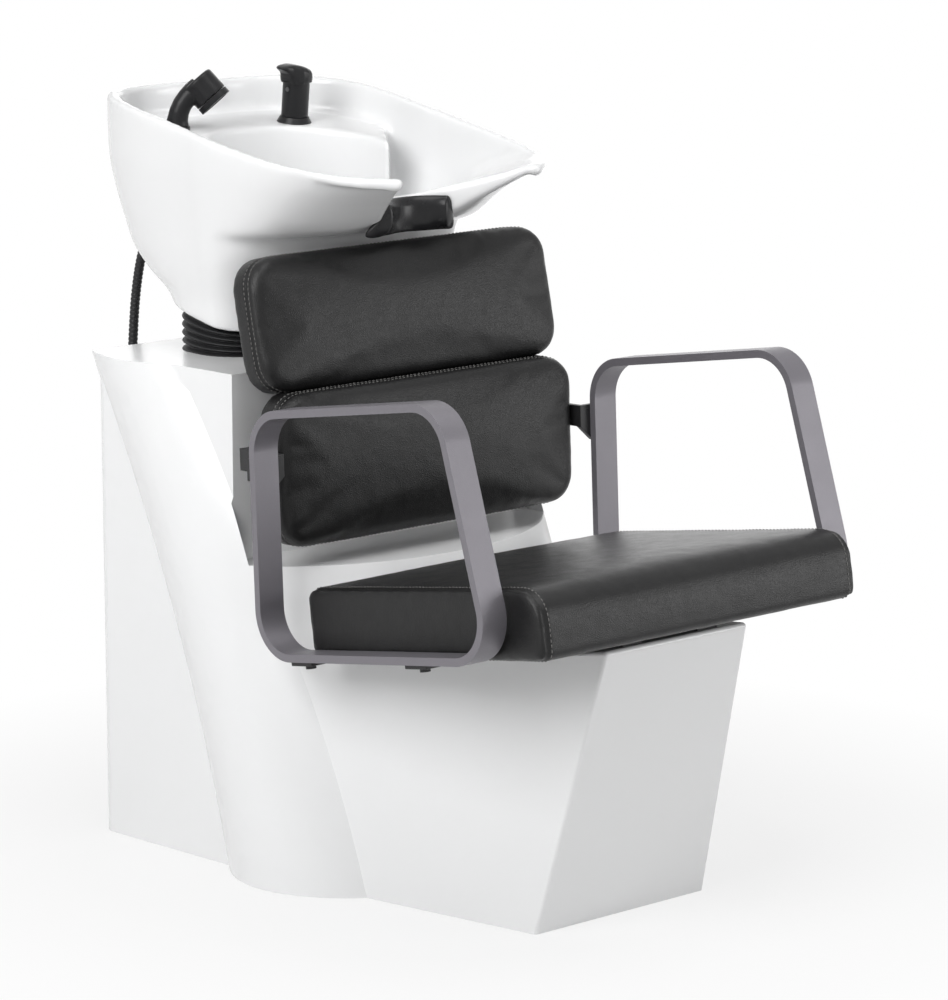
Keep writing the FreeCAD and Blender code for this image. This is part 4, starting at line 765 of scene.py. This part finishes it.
def makeHose():
    s = hoseLooks
    lead = Vector((0, 0, s["lead"]))
    start, end = Vector(s["start"]), Vector(s["end"])
    route = [deckFrame @ start, deckFrame @ (start - lead)]
    route += [Vector([part * whole for part, whole in zip(shares, s["scale"])]) for shares in hoseRoute]
    route += [deckFrame @ (end - lead), deckFrame @ end]
    path = hosePath(route)
    lengths = [0.0]
    for one, two in zip(path, path[1:]):
        lengths.append(lengths[-1] + (two - one).length)
    total = lengths[-1]
    pitch = (total - 2 * s["cuff"]) / s["ribs"]
    stations = [(0.0, 0.0), (s["cuff"], 0.0)]
    for i in range(s["ribs"]):
        stations += [(s["cuff"] + pitch * (i + share), high) for share, high in ribShape]
    stations.append((total, 0.0))
    bm = bmesh.new()
    rings, index = [], 0
    for along, high in stations:
        while index < len(path) - 2 and lengths[index + 1] < along:
            index += 1
        share = (along - lengths[index]) / max(lengths[index + 1] - lengths[index], tiny)
        spot = path[index].lerp(path[index + 1], share)
        before, after = path[max(index - 1, 0)], path[min(index + 2, len(path) - 1)]
        ahead = (after - before).normalized()
        side = Vector((1, 0, 0))
        if abs(ahead.y) < s["steep"]:
            side = Vector((0, 1, 0)).cross(ahead).normalized()
        radius = s["diameter"] / 2 - s["ribDepth"] * (1 - high)
        rings.append(ringRound(bm, spot, side, ahead.cross(side), radius, s["sides"]))
    capRings(bm, rings)
    piece = meshPiece("showerHose", bm)
    smooth(piece)
    paint(piece, "softRubber")
    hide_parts("shower_hose")
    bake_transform(piece)
    print("hose", round(total, 3), len(piece.data.polygons))


stageLooks = dict(eye=(-3.340, -3.960, 1.555), target=(0.0, -0.0793, 0.4754), lens=149.5, sensor=36.0,
                  farClip=60.0, floorSize=30.0, floorDrop=0.0005, floorRough=0.9,
                  floorColour=(0.68, 0.68, 0.68, 1), backdropColour=(0.8, 0.8, 0.8, 1), wallLight=0.85,
                  ceilingLight=0.05, wallTop=0.28, ceilingFrom=0.65, darkSide=-0.5, paleSide=0.5,
                  darkShare=0.45, shadowNear=0.45, shadowFar=1.0, shadowShare=0.22, lampTarget=(0, 0, 0.5))
lampLooks = {
    "keyBox": dict(spot=(-3.2, -0.6, 2.6), size=2.4, power=120.0),
    "fillBox": dict(spot=(2.8, -3.2, 0.95), size=1.7, power=46.0),
    "topBox": dict(spot=(0.0, -0.9, 3.6), size=2.4, power=52.0),
    "rimBox": dict(spot=(2.7, 2.6, 1.0), size=2.4, power=14.0),
}


def makeFloor():
    s = stageLooks
    bpy.ops.object.select_all(action="DESELECT")
    bpy.ops.mesh.primitive_plane_add(size=s["floorSize"], location=(0, 0, -s["floorDrop"]))
    floor = bpy.context.object
    floor.name = "paleFloor"
    cover = Finish("floorPale", Roughness=s["floorRough"], Base_Color=s["floorColour"])
    # the shadow shows near the object only, and the floor is white further out
    away = cover.add("ShaderNodeVectorMath", {"operation": "LENGTH"}, {0: cover.coords}, "Value")
    fade = cover.mapRange(away, s["shadowNear"], s["shadowFar"], 1 - s["shadowShare"], 1.0)
    lit = Wire(cover, cover.shader.outputs[0])
    glow = cover.add("ShaderNodeEmission", {}, {"Strength": 1.0})
    mixed = cover.add("ShaderNodeMixShader", {}, {0: cover.seenRays() * fade, 1: lit, 2: glow})
    cover.close(mixed, "Material Output")
    floor.data.materials.append(cover.material)


def makeSky():
    s = stageLooks
    world = bpy.data.worlds.new("studio")
    bpy.context.scene.world = world
    world.use_nodes = True
    sky = Graph(world.node_tree)
    sky.tree.nodes.remove(sky.tree.nodes["Background"])
    # pale walls, darker on one side, and a dark ceiling
    facing = sky.add("ShaderNodeTexCoord", {}, {}, "Generated")
    height = sky.add("ShaderNodeSeparateXYZ", {}, {0: facing}, "Z")
    ceiling = sky.mapRange(height, s["wallTop"], s["ceilingFrom"], s["wallLight"], s["ceilingLight"])
    side = sky.mapRange(height.also("X"), s["darkSide"], s["paleSide"], s["darkShare"], 1.0)
    walls = sky.add("ShaderNodeBackground", {}, {"Color": (1, 1, 1, 1), "Strength": ceiling * side})
    backdrop = sky.add("ShaderNodeBackground", {}, {"Color": s["backdropColour"], "Strength": 1.0})
    mixed = sky.add("ShaderNodeMixShader", {}, {0: sky.seenRays(), 1: walls, 2: backdrop})
    sky.close(mixed, "World Output")


def aimAt(obj, spot, target):
    aim = Vector(target) - Vector(spot)
    obj.rotation_euler = aim.to_track_quat("-Z", "Y").to_euler()


def makeStage():
    s = stageLooks
    makeFloor()
    makeSky()
    for name, lamp in lampLooks.items():
        bpy.ops.object.light_add(type="AREA", location=lamp["spot"])
        light = bpy.context.object
        light.name = name
        light.data.size = lamp["size"]
        light.data.energy = lamp["power"]
        aimAt(light, lamp["spot"], s["lampTarget"])
    bpy.ops.object.camera_add(location=s["eye"])
    camera = bpy.context.object
    camera.data.lens = s["lens"]
    camera.data.sensor_width = s["sensor"]
    camera.data.clip_end = s["farClip"]
    aimAt(camera, s["eye"], s["target"])
    bpy.context.scene.camera = camera
    bpy.context.scene.view_settings.view_transform = "Standard"
    print("stage set")


makeFinishes()
makeStage()
makeHose()
dressNodes()
for cushionName, cushionSize in cushionSettings.items():
    makeCushion(cushionName, cushionSize)
makeBowl()
makeNeckRest()
makeBellows()
makeHood()
makeShowerBody()
